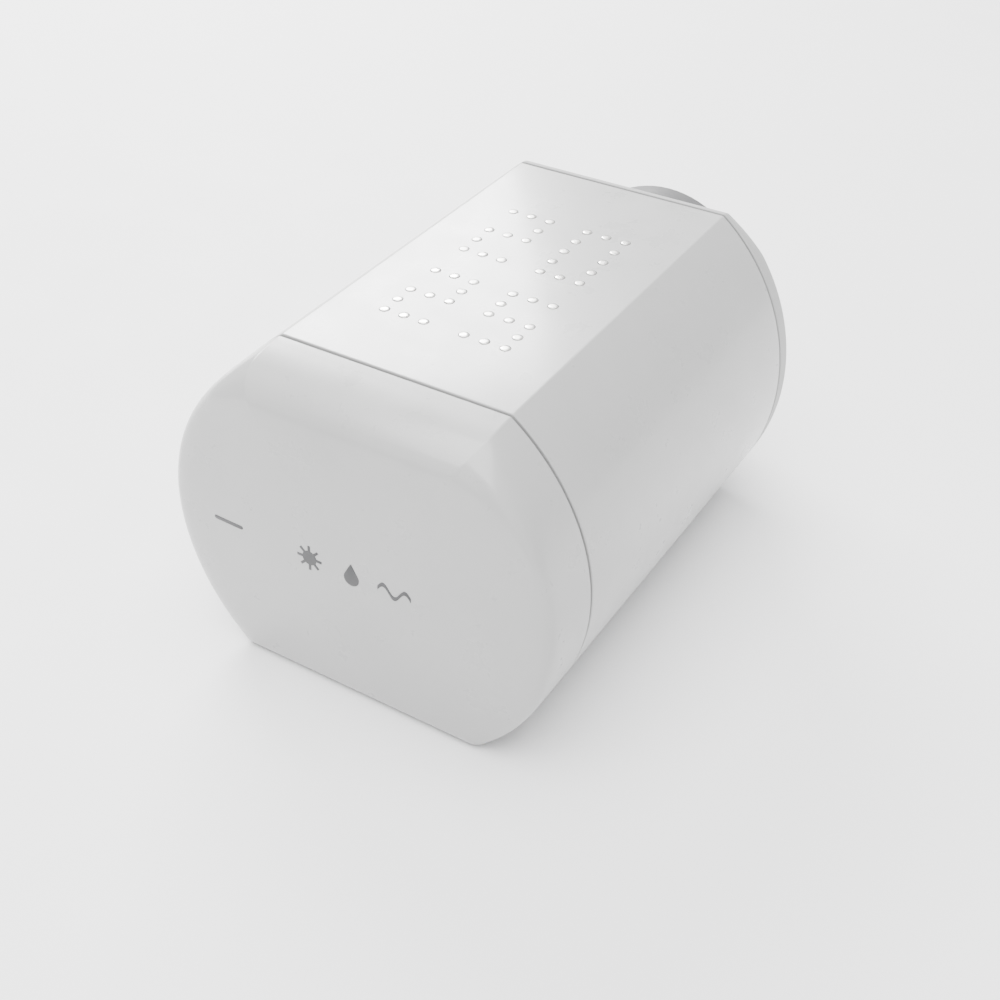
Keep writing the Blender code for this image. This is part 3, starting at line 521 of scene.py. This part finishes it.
def make_bracket_rail(front, back):
    """The curved lip, and the frame of webs and flanges that runs in the rear cover's rails."""
    bm = bmesh.new()
    lo, hi, n = math.radians(90 - LIP_HALF), math.radians(90 + LIP_HALF), 40
    loft(bm, [lip_section(lo + (hi - lo) * i / n, front - LIP_D, front + 1.0) for i in range(n + 1)])
    low = RAIL_LO + 2.0
    top = RAIL_HI - 0.8
    web0, web1 = back + WEB_S[0], front + WEB_S[1]
    flange0, flange1 = back + FLANGE_S[0], back + FLANGE_S[1]
    for side in (-1, 1):
        side_block(bm, side, WEB_IN, WEB_OUT, web0, web1, low, top, 0.4)
        side_block(bm, side, WEB_IN, FLANGE_OUT, flange0, flange1, low, top, 0.5)
    web = WEB_OUT - LAP
    flange = FLANGE_OUT - LAP
    block(bm, -web, web, web0 + 0.1, web1 - 0.2, RAIL_HI - 8.0, top - LAP, 0.4)
    block(bm, -flange, flange, flange0 + LAP, flange1 - LAP, RAIL_HI - 8.0, top - LAP, 0.4)
    block(bm, -web, web, flange0 + LAP, web1 - 0.2, low + LAP, RAIL_LO + 5.0, 0.4)
    new_object("bracket_rail_fine", bm, "bracket_grey", "bracket", ["wall_bracket"])


# ---------------------------------------------------------------- marks on the cap

def face_s(x, z):
    """Where the cap's face is at a point of the section."""
    k = math.hypot(x / HALF_W, (z - MID_Z) / HALF_H)
    return -cap_reach(k, z)


def make_mark(name, pts):
    """A thin raised shape that follows the cap's face."""
    bm = bmesh.new()
    rings = []
    cx = sum(p[0] for p in pts) / len(pts)
    cz = sum(p[1] for p in pts) / len(pts)
    for depth, shrink in ((-0.15, 1.0), (0.05, 1.0), (0.09, 0.985)):
        ring = [(cx + (x - cx) * shrink, cz + (z - cz) * shrink) for x, z in pts]
        rings.append([world(x, face_s(x, z) - depth, lift(z, face_s(x, z))) for x, z in ring])
    loft(bm, rings)
    new_object(name + "_fine", bm, "mark_grey", "housing", [name], weighted=False)


def polar(cx, cz, r, angle):
    return cx + r * math.cos(angle), cz + r * math.sin(angle)


def sun_points(cx, cz, r_in, r_out, rays=8, arc=5):
    """A disc with short rays: the angles are half widths of a ray's tip and root."""
    tip, root = 0.09, 0.17
    span = 2 * math.pi / rays
    pts = []
    for i in range(rays):
        a = 2 * math.pi * i / rays
        pts += [polar(cx, cz, r_out, a - tip), polar(cx, cz, r_out, a + tip)]
        pts += [polar(cx, cz, r_in, a + (root + (span - 2 * root) * k / (arc - 1))) for k in range(arc)]
    return pts


def drop_points(cx, cz, r, n=28):
    """A round drop with a blunt tip."""
    pts = [polar(cx, cz, r, math.radians(150 + 240 * i / n)) for i in range(n + 1)]
    tip = cz + 2 * r - 0.1
    return pts + [(cx + 0.12, tip), (cx - 0.12, tip)]


def wave_points(x0, x1, cz, amp, width, turns=1.5, n=60):
    mids = [(x0 + (x1 - x0) * i / n, cz + amp * math.sin(2 * math.pi * turns * i / n)) for i in range(n + 1)]
    return [(x, z - width / 2) for x, z in mids] + [(x, z + width / 2) for x, z in reversed(mids)]


def bar_points(x0, x1, z0, z1, n=12):
    """A bar with round ends."""
    r = (z1 - z0) / 2
    cz = (z0 + z1) / 2
    right = [(x1 - r + r * math.cos(g), cz + r * math.sin(g)) for g in
             [-math.pi / 2 + math.pi * i / n for i in range(n + 1)]]
    left = [(x0 + r - r * math.cos(g), cz + r * math.sin(g)) for g in
            [math.pi / 2 - math.pi * i / n for i in range(n + 1)]]
    return right + left


def make_marks():
    make_mark("mark_sun", sun_points(-9.4, MARK_Z, 1.8, 3.2))
    make_mark("mark_drop", drop_points(1.4, MARK_Z - 0.7, 1.9))
    make_mark("mark_wind", wave_points(8.0, 16.2, MARK_Z, 1.3, 1.0))
    make_mark("mark_dash", bar_points(-35.5, -27.5, MARK_Z - 0.45, MARK_Z + 0.45))


# ---------------------------------------------------------------- screws and small board parts

BOARD_TOP = 10.6        # upper face of the main board
THREAD = 0.5            # thread pitch
SLOT_HALF = 0.22        # half width of a driver slot
SCREW_TILT = {"up": 0.0, "down": math.pi, "front": math.pi / 2}    # where the head points


def screw_steps(head, high, shank, length):
    """(radius, height) of a threaded screw with its head above zero."""
    steps = [(shank * 0.55, -length), (shank * 0.85, -length + 0.7)]
    z = -length + 1.0
    while z < -0.6:
        steps += [(shank, z), (shank - 0.14, z + THREAD / 2)]
        z += THREAD
    steps += [(shank, -0.1), (shank, 0.0), (head - 0.12, 0.0), (head, 0.12), (head, high * 0.6),
              (head * 0.95, high * 0.82), (head * 0.84, high * 0.96), (head * 0.7, high)]
    return steps


def local_bar(bm, hx, hy, z0, z1):
    """A bar in the screw's own coordinates, from its half widths."""
    corners = ((-hx, -hy), (hx, -hy), (hx, hy), (-hx, hy))
    loft(bm, [[Vector((x, y, z)) * MM for x, y in corners] for z in (z0, z1)])


def make_screw(name, place, points, head, high, shank, length, turn, cross=True):
    """A screw with a cross recess, or else one straight slot across its head."""
    bm = bmesh.new()
    steps = screw_steps(head, high, shank, length)
    loft(bm, [[Vector((x, y, z)) * MM for x, y in circle(r, ROUND_N)] for r, z in steps])
    obj = new_object(name + "_fine", bm, "screw_steel")
    arm = head * 0.62 if cross else head * 1.2
    slots = [(arm, SLOT_HALF), (SLOT_HALF, arm)] if cross else [(arm, SLOT_HALF)]
    for hx, hy in slots:
        tool = bmesh.new()
        local_bar(tool, hx, hy, high * 0.45, high + 1.0)
        cut(obj, tool)
    obj.data.transform(Matrix.Rotation(turn, 4, "Z"))
    obj.data.transform(Matrix.Rotation(SCREW_TILT[points], 4, "X"))
    obj.data.transform(Matrix.Translation(world(*place)))
    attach(obj, "housing")
    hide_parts(name)


def make_screws():
    corners = [(-16.5, 28.0), (16.5, 28.0), (-16.5, 70.0), (16.5, 70.0)]
    for number, (x, s) in enumerate(corners, 1):
        make_screw(f"board_screw_{number}", (x, s, BOARD_TOP + 0.2), "up", 2.6, 1.6, 1.2, 6.5, 0.5 * number)
    for number, x in enumerate((-CAP_SCREW_X, CAP_SCREW_X), 1):
        make_screw(f"cap_screw_{number}", (x, CAP_SCREW_S, 1.25), "down", 2.3, 1.0, 1.2, 3.4, 0.7 * number)
        make_screw(f"rear_screw_{number}", (x, HOOD_L - 4.8, 20.0), "front", 2.8, 1.6, 1.2, 8.0, 0.4 * number)
        make_screw(f"light_board_screw_{number}", (x, 3.2, 11.5), "front", 2.2, 1.6, 1.0, 3.4, 0.9 * number)
    for number in range(1, 5):
        place = (-7.5 + 5.0 * (number - 1), 65.0, BOARD_TOP + 7.5)
        make_screw(f"terminal_screw_{number}", place, "up", 1.7, 1.1, 1.2, 0.1, 0.35 * number, cross=False)


def chip_places():
    """(x, s, lengthways) of the small chip parts on the main board."""
    row_a = [(-5.0 + 2.5 * i, 53.6, True) for i in range(5)]
    row_b = [(-5.0 + 2.5 * i, 57.2, True) for i in range(5)]
    column = [(8.6, 41.0 + 2.4 * i, False) for i in range(3)]
    front = [(-4.5 + 2.2 * i, 32.6, True) for i in range(3)]
    return row_a + row_b + column + front


def make_chip_parts():
    """Resistors and capacitors: a dark or tan body between two tinned ends."""
    ends = bmesh.new()
    darks = bmesh.new()
    tans = bmesh.new()
    z = BOARD_TOP + 0.02
    for number, (x, s, lengthways) in enumerate(chip_places()):
        for side in (-1, 1):
            dx, ds = (0.0, side * 0.85) if lengthways else (side * 0.85, 0.0)
            hx, hs = (0.5, 0.22) if lengthways else (0.22, 0.5)
            block(ends, x + dx - hx, x + dx + hx, s + ds - hs, s + ds + hs, z, z + 0.62, 0.08, 2)
        hx, hs = (0.47, 0.62) if lengthways else (0.62, 0.47)
        body = tans if number % 3 == 0 else darks
        block(body, x - hx, x + hx, s - hs, s + hs, z, z + 0.58, 0.06, 2)
    new_object("chip_ends", ends, "pin_tin", "housing")
    new_object("chip_bodies_dark", darks, "chip_black", "housing")
    new_object("chip_bodies_tan", tans, "socket_cream", "housing")


# ---------------------------------------------------------------- procedural materials

class Tree:
    """Shorthand for one material's nodes. Distances are metres, and noise scales count per metre."""

    def __init__(self, name):
        self.mat = bpy.data.materials.new(name)
        self.mat.use_nodes = True
        self.nodes = self.mat.node_tree.nodes
        self.links = self.mat.node_tree.links
        self.shader = self.nodes["Principled BSDF"]
        self.coord = self.nodes.new("ShaderNodeTexCoord")

    def set(self, **values):
        for key, value in values.items():
            self.shader.inputs[key.replace("_", " ")].default_value = value

    def mapping(self, scale):
        node = self.nodes.new("ShaderNodeMapping")
        node.inputs["Scale"].default_value = scale
        self.links.new(self.coord.outputs["Object"], node.inputs["Vector"])
        return node.outputs["Vector"]

    def noise(self, scale, detail=3.0, rough=0.5, stretch=(1, 1, 1)):
        node = self.nodes.new("ShaderNodeTexNoise")
        node.inputs["Scale"].default_value = scale
        node.inputs["Detail"].default_value = detail
        node.inputs["Roughness"].default_value = rough
        self.links.new(self.mapping(stretch), node.inputs["Vector"])
        return node.outputs["Fac"]

    def voronoi(self, scale, stretch, feature="F1", distance="EUCLIDEAN"):
        node = self.nodes.new("ShaderNodeTexVoronoi")
        node.distance = distance
        node.feature = feature
        node.inputs["Scale"].default_value = scale
        self.links.new(self.mapping(stretch), node.inputs["Vector"])
        return node.outputs["Distance"]

    def wave(self, scale, axis, distortion):
        node = self.nodes.new("ShaderNodeTexWave")
        node.bands_direction = axis
        node.inputs["Scale"].default_value = scale
        node.inputs["Distortion"].default_value = distortion
        self.links.new(self.coord.outputs["Object"], node.inputs["Vector"])
        return node.outputs["Fac"]

    def ramp(self, fac, stops):
        node = self.nodes.new("ShaderNodeValToRGB")
        node.color_ramp.elements[0].position = stops[0][0]
        node.color_ramp.elements[0].color = (*stops[0][1], 1)
        node.color_ramp.elements[1].position = stops[-1][0]
        node.color_ramp.elements[1].color = (*stops[-1][1], 1)
        for place, colour in stops[1:-1]:
            node.color_ramp.elements.new(place).color = (*colour, 1)
        self.links.new(fac, node.inputs["Fac"])
        return node.outputs["Color"]

    def map(self, fac, lo, hi, to_lo, to_hi):
        node = self.nodes.new("ShaderNodeMapRange")
        for key, value in (("From Min", lo), ("From Max", hi), ("To Min", to_lo), ("To Max", to_hi)):
            node.inputs[key].default_value = value
        self.links.new(fac, node.inputs["Value"])
        return node.outputs["Result"]

    def mix(self, fac, a, b):
        node = self.nodes.new("ShaderNodeMix")
        node.data_type = "RGBA"
        self.links.new(fac, node.inputs["Factor"])
        self.links.new(a, node.inputs["A"])
        self.links.new(b, node.inputs["B"])
        return node.outputs["Result"]

    def add(self, a, b):
        node = self.nodes.new("ShaderNodeMath")
        node.operation = "ADD"
        self.links.new(a, node.inputs[0])
        self.links.new(b, node.inputs[1])
        return node.outputs["Value"]

    def bump(self, height, strength, distance, before=None):
        node = self.nodes.new("ShaderNodeBump")
        node.inputs["Strength"].default_value = strength
        node.inputs["Distance"].default_value = distance
        self.links.new(height, node.inputs["Height"])
        if before is not None:
            self.links.new(before, node.inputs["Normal"])
        return node.outputs["Normal"]

    def feed(self, **sockets):
        for key, value in sockets.items():
            self.links.new(value, self.shader.inputs[key.replace("_", " ")])


def tone(colour, factor):
    """A lighter or darker tone of a colour."""
    return tuple(min(1.0, c * factor) for c in colour)


def plastic(name, colour, rough, grain=2600.0, depth=0.00002, vary=0.05, dust=0.08, scuff=0.10, coat=0.0):
    """Moulded plastic: cloudy tone, fine moulded grain, faint dust in patches, hairline scuffs."""
    t = Tree(name)
    cloud = t.ramp(t.noise(28.0, 4.0, 0.55), [(0.3, tone(colour, 1 - vary)), (0.7, tone(colour, 1 + vary * 0.6))])
    patch = t.ramp(t.noise(75.0, 6.0, 0.62), [(0.42, (0, 0, 0)), (0.75, (dust, dust, dust))])
    grime = t.ramp(t.noise(300.0, 3.0), [(0.3, tone(colour, 0.72)), (0.7, tone(colour, 0.86))])
    base = t.mix(patch, cloud, grime)
    hair = t.map(t.noise(60.0, 2.0, 0.5, (1, 22, 7)), 0.66, 0.72, 0.0, scuff)
    worn = t.ramp(t.noise(900.0, 2.0), [(0.3, tone(colour, 0.88)), (0.7, tone(colour, 1.08))])
    t.feed(Base_Color=t.mix(hair, base, worn))
    coarse = t.map(t.noise(110.0, 5.0, 0.6), 0.3, 0.7, rough - 0.05, rough + 0.07)
    t.feed(Roughness=t.add(coarse, hair))
    fine = t.bump(t.noise(grain, 2.0, 0.6), 0.35, depth)
    t.feed(Normal=t.bump(t.noise(36.0, 2.0), 0.12, 0.00025, fine))
    t.set(IOR=1.49, Coat_Weight=coat, Coat_Roughness=0.12)
    return t.mat


def rubber(name, colour, rough=0.75):
    """Matt rubber with a pale bloom in patches."""
    t = Tree(name)
    bloom = t.noise(140.0, 5.0, 0.65)
    t.feed(Base_Color=t.ramp(bloom, [(0.3, tone(colour, 0.7)), (0.72, tone(colour, 1.9))]))
    t.feed(Roughness=t.map(bloom, 0.3, 0.7, rough - 0.12, rough + 0.1))
    t.feed(Normal=t.bump(t.noise(3200.0, 3.0, 0.7), 0.5, 0.00003))
    return t.mat


def metal(name, colour, rough, stretch=(1, 1, 1), vary=0.12, spots=0.15):
    """Drawn or plated metal: fine lines, and dull stains in patches."""
    t = Tree(name)
    lines = t.noise(1500.0, 3.0, 0.6, stretch)
    stain = t.noise(220.0, 5.0, 0.6)
    base = t.ramp(lines, [(0.3, tone(colour, 1 - vary)), (0.7, tone(colour, 1 + vary * 0.5))])
    dull = t.ramp(stain, [(0.3, tone(colour, 0.65)), (0.7, tone(colour, 0.8))])
    t.feed(Base_Color=t.mix(t.map(stain, 0.5, 0.75, 0.0, spots), base, dull))
    t.feed(Roughness=t.map(stain, 0.3, 0.7, rough - 0.06, rough + 0.12))
    t.feed(Normal=t.bump(lines, 0.3, 0.00001))
    t.set(Metallic=1.0)
    return t.mat


def circuit(name, mask, trace, flat=(1, 1, 0.02)):
    """Solder mask with fine runs of copper under it and small tinned spots; flat squeezes the board's thickness."""
    t = Tree(name)
    lines = t.map(t.voronoi(420.0, flat, "F2", "CHEBYCHEV"), 0.52, 0.56, 0.0, 1.0)
    cloud = t.ramp(t.noise(60.0, 4.0), [(0.3, tone(mask, 0.8)), (0.7, tone(mask, 1.25))])
    copper = t.ramp(t.noise(500.0, 2.0), [(0.3, tone(trace, 0.85)), (0.7, tone(trace, 1.15))])
    spots = t.map(t.voronoi(330.0, flat), 0.10, 0.14, 1.0, 0.0)
    tin = t.ramp(t.noise(900.0, 2.0), [(0.3, (0.45, 0.45, 0.42)), (0.7, (0.7, 0.7, 0.66))])
    t.feed(Base_Color=t.mix(spots, t.mix(lines, cloud, copper), tin))
    t.feed(Roughness=t.map(t.noise(200.0, 4.0), 0.3, 0.7, 0.28, 0.46))
    t.feed(Normal=t.bump(lines, 0.5, 0.00003, t.bump(t.noise(1800.0, 2.0), 0.2, 0.00001)))
    t.set(Coat_Weight=0.25, Coat_Roughness=0.2)
    return t.mat


def banded(name, colour, rough, scale, axis, depth, metallic=0.0):
    """Wound wire or ribbed ribbon, with painted shade in the grooves between turns and ribs."""
    t = Tree(name)
    bands = t.wave(scale, axis, 0.25)
    # Painted shade: the low parts of the bands, which the bump makes into grooves, are darkened to 0.45 of the
    # colour.
    dark = tone(colour, 0.45)
    t.feed(Base_Color=t.mix(t.noise(300.0, 4.0), t.ramp(bands, [(0.1, dark), (0.6, colour)]),
                            t.ramp(bands, [(0.1, dark), (0.6, tone(colour, 1.25))])))
    t.feed(Roughness=t.map(t.noise(420.0, 3.0), 0.3, 0.7, rough - 0.07, rough + 0.1))
    t.feed(Normal=t.bump(bands, 0.8, depth))
    t.set(Metallic=metallic)
    return t.mat


def glassy(name, colour, rough):
    """Clear sensor domes, with a faint haze in patches."""
    t = Tree(name)
    haze = t.noise(260.0, 4.0, 0.6)
    t.feed(Base_Color=t.ramp(haze, [(0.3, tone(colour, 0.85)), (0.7, tone(colour, 1.15))]))
    t.feed(Roughness=t.map(haze, 0.3, 0.7, rough, rough + 0.12))
    t.feed(Normal=t.bump(t.noise(800.0, 2.0), 0.15, 0.00001))
    t.set(Transmission_Weight=0.35, IOR=1.5, Coat_Weight=0.4, Coat_Roughness=0.05)
    return t.mat


def make_materials():
    return {
        "white_shell": plastic("white_shell_look", (0.38, 0.38, 0.377), 0.30, coat=0.5),
        "white_base": plastic("white_base_look", (0.36, 0.36, 0.357), 0.46, grain=1900.0, depth=0.00003),
        "bracket_grey": plastic("bracket_grey_look", (0.10, 0.10, 0.102), 0.5, grain=1500.0, depth=0.00004),
        # Painted shade: the black of the bands set into the seams, which darken them like the shadow in their gaps.
        "gasket_black": rubber("seam_shade_black_look", (0.018, 0.018, 0.019)),
        "grommet_rubber": rubber("grommet_rubber_look", (0.03, 0.03, 0.032), 0.8),
        "mark_grey": plastic("mark_grey_look", (0.06, 0.06, 0.062), 0.5, grain=3000.0, depth=0.00001),
        "pad_nickel": metal("pad_nickel_look", (0.86, 0.85, 0.82), 0.3),
        "board_green": circuit("board_green_look", (0.015, 0.11, 0.05), (0.04, 0.22, 0.09)),
        "upright_board": circuit("upright_board_look", (0.015, 0.11, 0.05), (0.04, 0.22, 0.09), (1, 0.02, 1)),
        "heater_film": circuit("heater_film_look", (0.42, 0.17, 0.04), (0.55, 0.30, 0.12)),
        "chip_black": plastic("chip_black_look", (0.022, 0.022, 0.024), 0.5, grain=3600.0, dust=0.2, scuff=0.2),
        "pin_tin": metal("pin_tin_look", (0.72, 0.72, 0.70), 0.34, (1, 1, 6)),
        "screw_steel": metal("screw_steel_look", (0.60, 0.60, 0.61), 0.3, (1, 1, 12)),
        "terminal_green": plastic("terminal_green_look", (0.02, 0.20, 0.09), 0.42, grain=2200.0, dust=0.15),
        "socket_cream": plastic("socket_cream_look", (0.66, 0.60, 0.44), 0.5, dust=0.15),
        "plug_cream": plastic("plug_cream_look", (0.70, 0.65, 0.50), 0.5, dust=0.15),
        "ribbon_grey": banded("ribbon_grey_look", (0.34, 0.34, 0.35), 0.55, 130.0, "X", 0.0002),
        "can_blue": plastic("can_blue_look", (0.015, 0.035, 0.12), 0.32, grain=2400.0, coat=0.4),
        "core_grey": plastic("core_grey_look", (0.075, 0.075, 0.08), 0.62, grain=900.0, depth=0.00006, vary=0.2),
        "winding_copper": banded("winding_copper_look", (0.62, 0.26, 0.10), 0.3, 350.0, "Z", 0.0002, 1.0),
        "led_red": glassy("led_red_look", (0.42, 0.02, 0.02), 0.12),
        "button_black": plastic("button_black_look", (0.03, 0.03, 0.032), 0.42, grain=2600.0, scuff=0.25),
        "lens_clear": glassy("lens_clear_look", (0.62, 0.65, 0.67), 0.08),
        "ceramic_white": plastic("ceramic_white_look", (0.72, 0.71, 0.66), 0.55, grain=1400.0, depth=0.00004),
        "bead_black": plastic("bead_black_look", (0.02, 0.02, 0.021), 0.3, grain=1400.0, coat=0.5),
        "label_silver": metal("label_silver_look", (0.58, 0.59, 0.60), 0.42, (40, 1, 1), 0.1),
    }


# ---------------------------------------------------------------- nodes carried over from the frame

SHARP = {"main_board", "rain_board", "light_board", "heater_film", "rating_label"}    # thin, with cut edges
WELD = 0.000002         # metres
SHARP_BEVEL = 0.00008
BEVEL = 0.00018


def dress(frame):
    """Gives every carried-over node its finish, a welded mesh and broken edges."""
    for name, obj in frame["nodes"].items():
        if obj.type != "MESH":
            continue
        slot = obj.data.materials[0].name.split(".")[0] if obj.data.materials else "white_base"
        key = "upright_board" if name == "light_board" else slot
        for i in range(len(obj.material_slots)):
            obj.material_slots[i].link = "OBJECT"
            obj.material_slots[i].material = MATS[key]
        weld = obj.modifiers.new("weld", "WELD")
        weld.merge_threshold = WELD
        bevel = obj.modifiers.new("edges", "BEVEL")
        bevel.width = SHARP_BEVEL if name in SHARP else BEVEL
        bevel.segments = 2
        bevel.limit_method = "ANGLE"
        bevel.angle_limit = math.radians(40)
        soften(obj)


# ---------------------------------------------------------------- floor, light, camera

FLOOR_Z = -(ORIGIN_Z + 0.2) * MM    # a hair below the underside, so the two faces don't coincide
FLOOR_HALF = 3.0        # metres, like the next two
SWEEP = 1.2             # radius of the curve up to the back wall, and where it starts
WALL_TOP = 4.0


def make_floor():
    bm = bmesh.new()
    half = FLOOR_HALF
    path = [(-half, 0.0), (SWEEP, 0.0)]
    for i in range(1, 13):
        g = math.pi / 2 * i / 12
        path.append((SWEEP + SWEEP * math.sin(g), SWEEP * (1 - math.cos(g))))
    path.append((2 * SWEEP, WALL_TOP))
    rows = [[bm.verts.new((x, y, FLOOR_Z + z)) for x in (-half, half)] for y, z in path]
    for a, b in zip(rows, rows[1:]):
        bm.faces.new((a[0], a[1], b[1], b[0]))
    mesh = bpy.data.meshes.new("floor")
    bm.to_mesh(mesh)
    bm.free()
    mesh.shade_smooth()
    floor = bpy.data.objects.new("floor", mesh)
    bpy.context.scene.collection.objects.link(floor)
    t = Tree("floor_look")
    t.feed(Base_Color=t.ramp(t.noise(3.0, 3.0), [(0.3, (0.86, 0.86, 0.86)), (0.7, (0.90, 0.90, 0.90))]))
    t.feed(Roughness=t.map(t.noise(40.0, 3.0), 0.3, 0.7, 0.55, 0.7))
    mesh.materials.append(t.mat)


# name, place from the part's middle, size (both metres), power in watts
LIGHTS = (
    ("key", (-0.771, 0.647, 0.640), (0.73, 0.27), 28.0),
    ("fill", (1.0, -1.1, 0.7), (1.4, 1.2), 3.0),
    ("front", (-0.5, -1.4, 0.9), (1.4, 1.2), 6.0),
    ("top", (0.0, -0.3, 1.6), (1.8, 1.8), 80.0),
)


def make_light():
    """Soft boxes aimed at the part's middle, and a pale world. The key mirrors in the hood's top."""
    centre = world(0, 40, 40)
    for name, offset, size, power in LIGHTS:
        data = bpy.data.lights.new(name, "AREA")
        data.shape = "RECTANGLE"
        data.size, data.size_y = size
        data.energy = power
        obj = bpy.data.objects.new(name, data)
        place = centre + Vector(offset)
        obj.location = place
        obj.rotation_euler = (centre - place).to_track_quat("-Z", "Y").to_euler()
        bpy.context.scene.collection.objects.link(obj)
    world_data = bpy.data.worlds.new("studio")
    world_data.use_nodes = True
    background = world_data.node_tree.nodes["Background"]
    background.inputs["Color"].default_value = (0.98, 0.985, 1.0, 1)
    background.inputs["Strength"].default_value = 1.0
    bpy.context.scene.world = world_data


# 30 degrees to the part's right and 36 degrees above it: place in metres, and the three axes
CAMERA_AT = (0.13853, -0.32273, 0.18037)
CAMERA_RIGHT = (0.85437, 0.51899, 0.02629)
CAMERA_UP = (-0.32501, 0.49418, 0.80632)
CAMERA_BACK = (0.40548, -0.69744, 0.59089)


def make_camera():
    data = bpy.data.cameras.new("camera")
    data.lens = 50.0
    data.sensor_width = 36.0
    data.clip_start = 0.01
    data.dof.use_dof = False
    cam = bpy.data.objects.new("camera", data)
    turn = Matrix((CAMERA_RIGHT, CAMERA_UP, CAMERA_BACK)).transposed()
    cam.matrix_world = Matrix.Translation(CAMERA_AT) @ turn.to_4x4()
    bpy.context.scene.collection.objects.link(cam)
    bpy.context.scene.camera = cam


# ---------------------------------------------------------------- the scene

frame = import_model()
MATS = make_materials()
dress(frame)
make_hood()
make_pads()
make_cap()
# Black bands set into both seams: painted shade for the shadow in the seams' gaps.
make_seam_shade_band("front_gasket", -SEAM - 1.0, -0.12)
make_seam_shade_band("rear_gasket", HOOD_L + 0.12, HOOD_L + SEAM + 1.0)
make_rear_cover()
make_bracket()
make_marks()
make_screws()
make_chip_parts()
make_floor()
make_light()
make_camera()
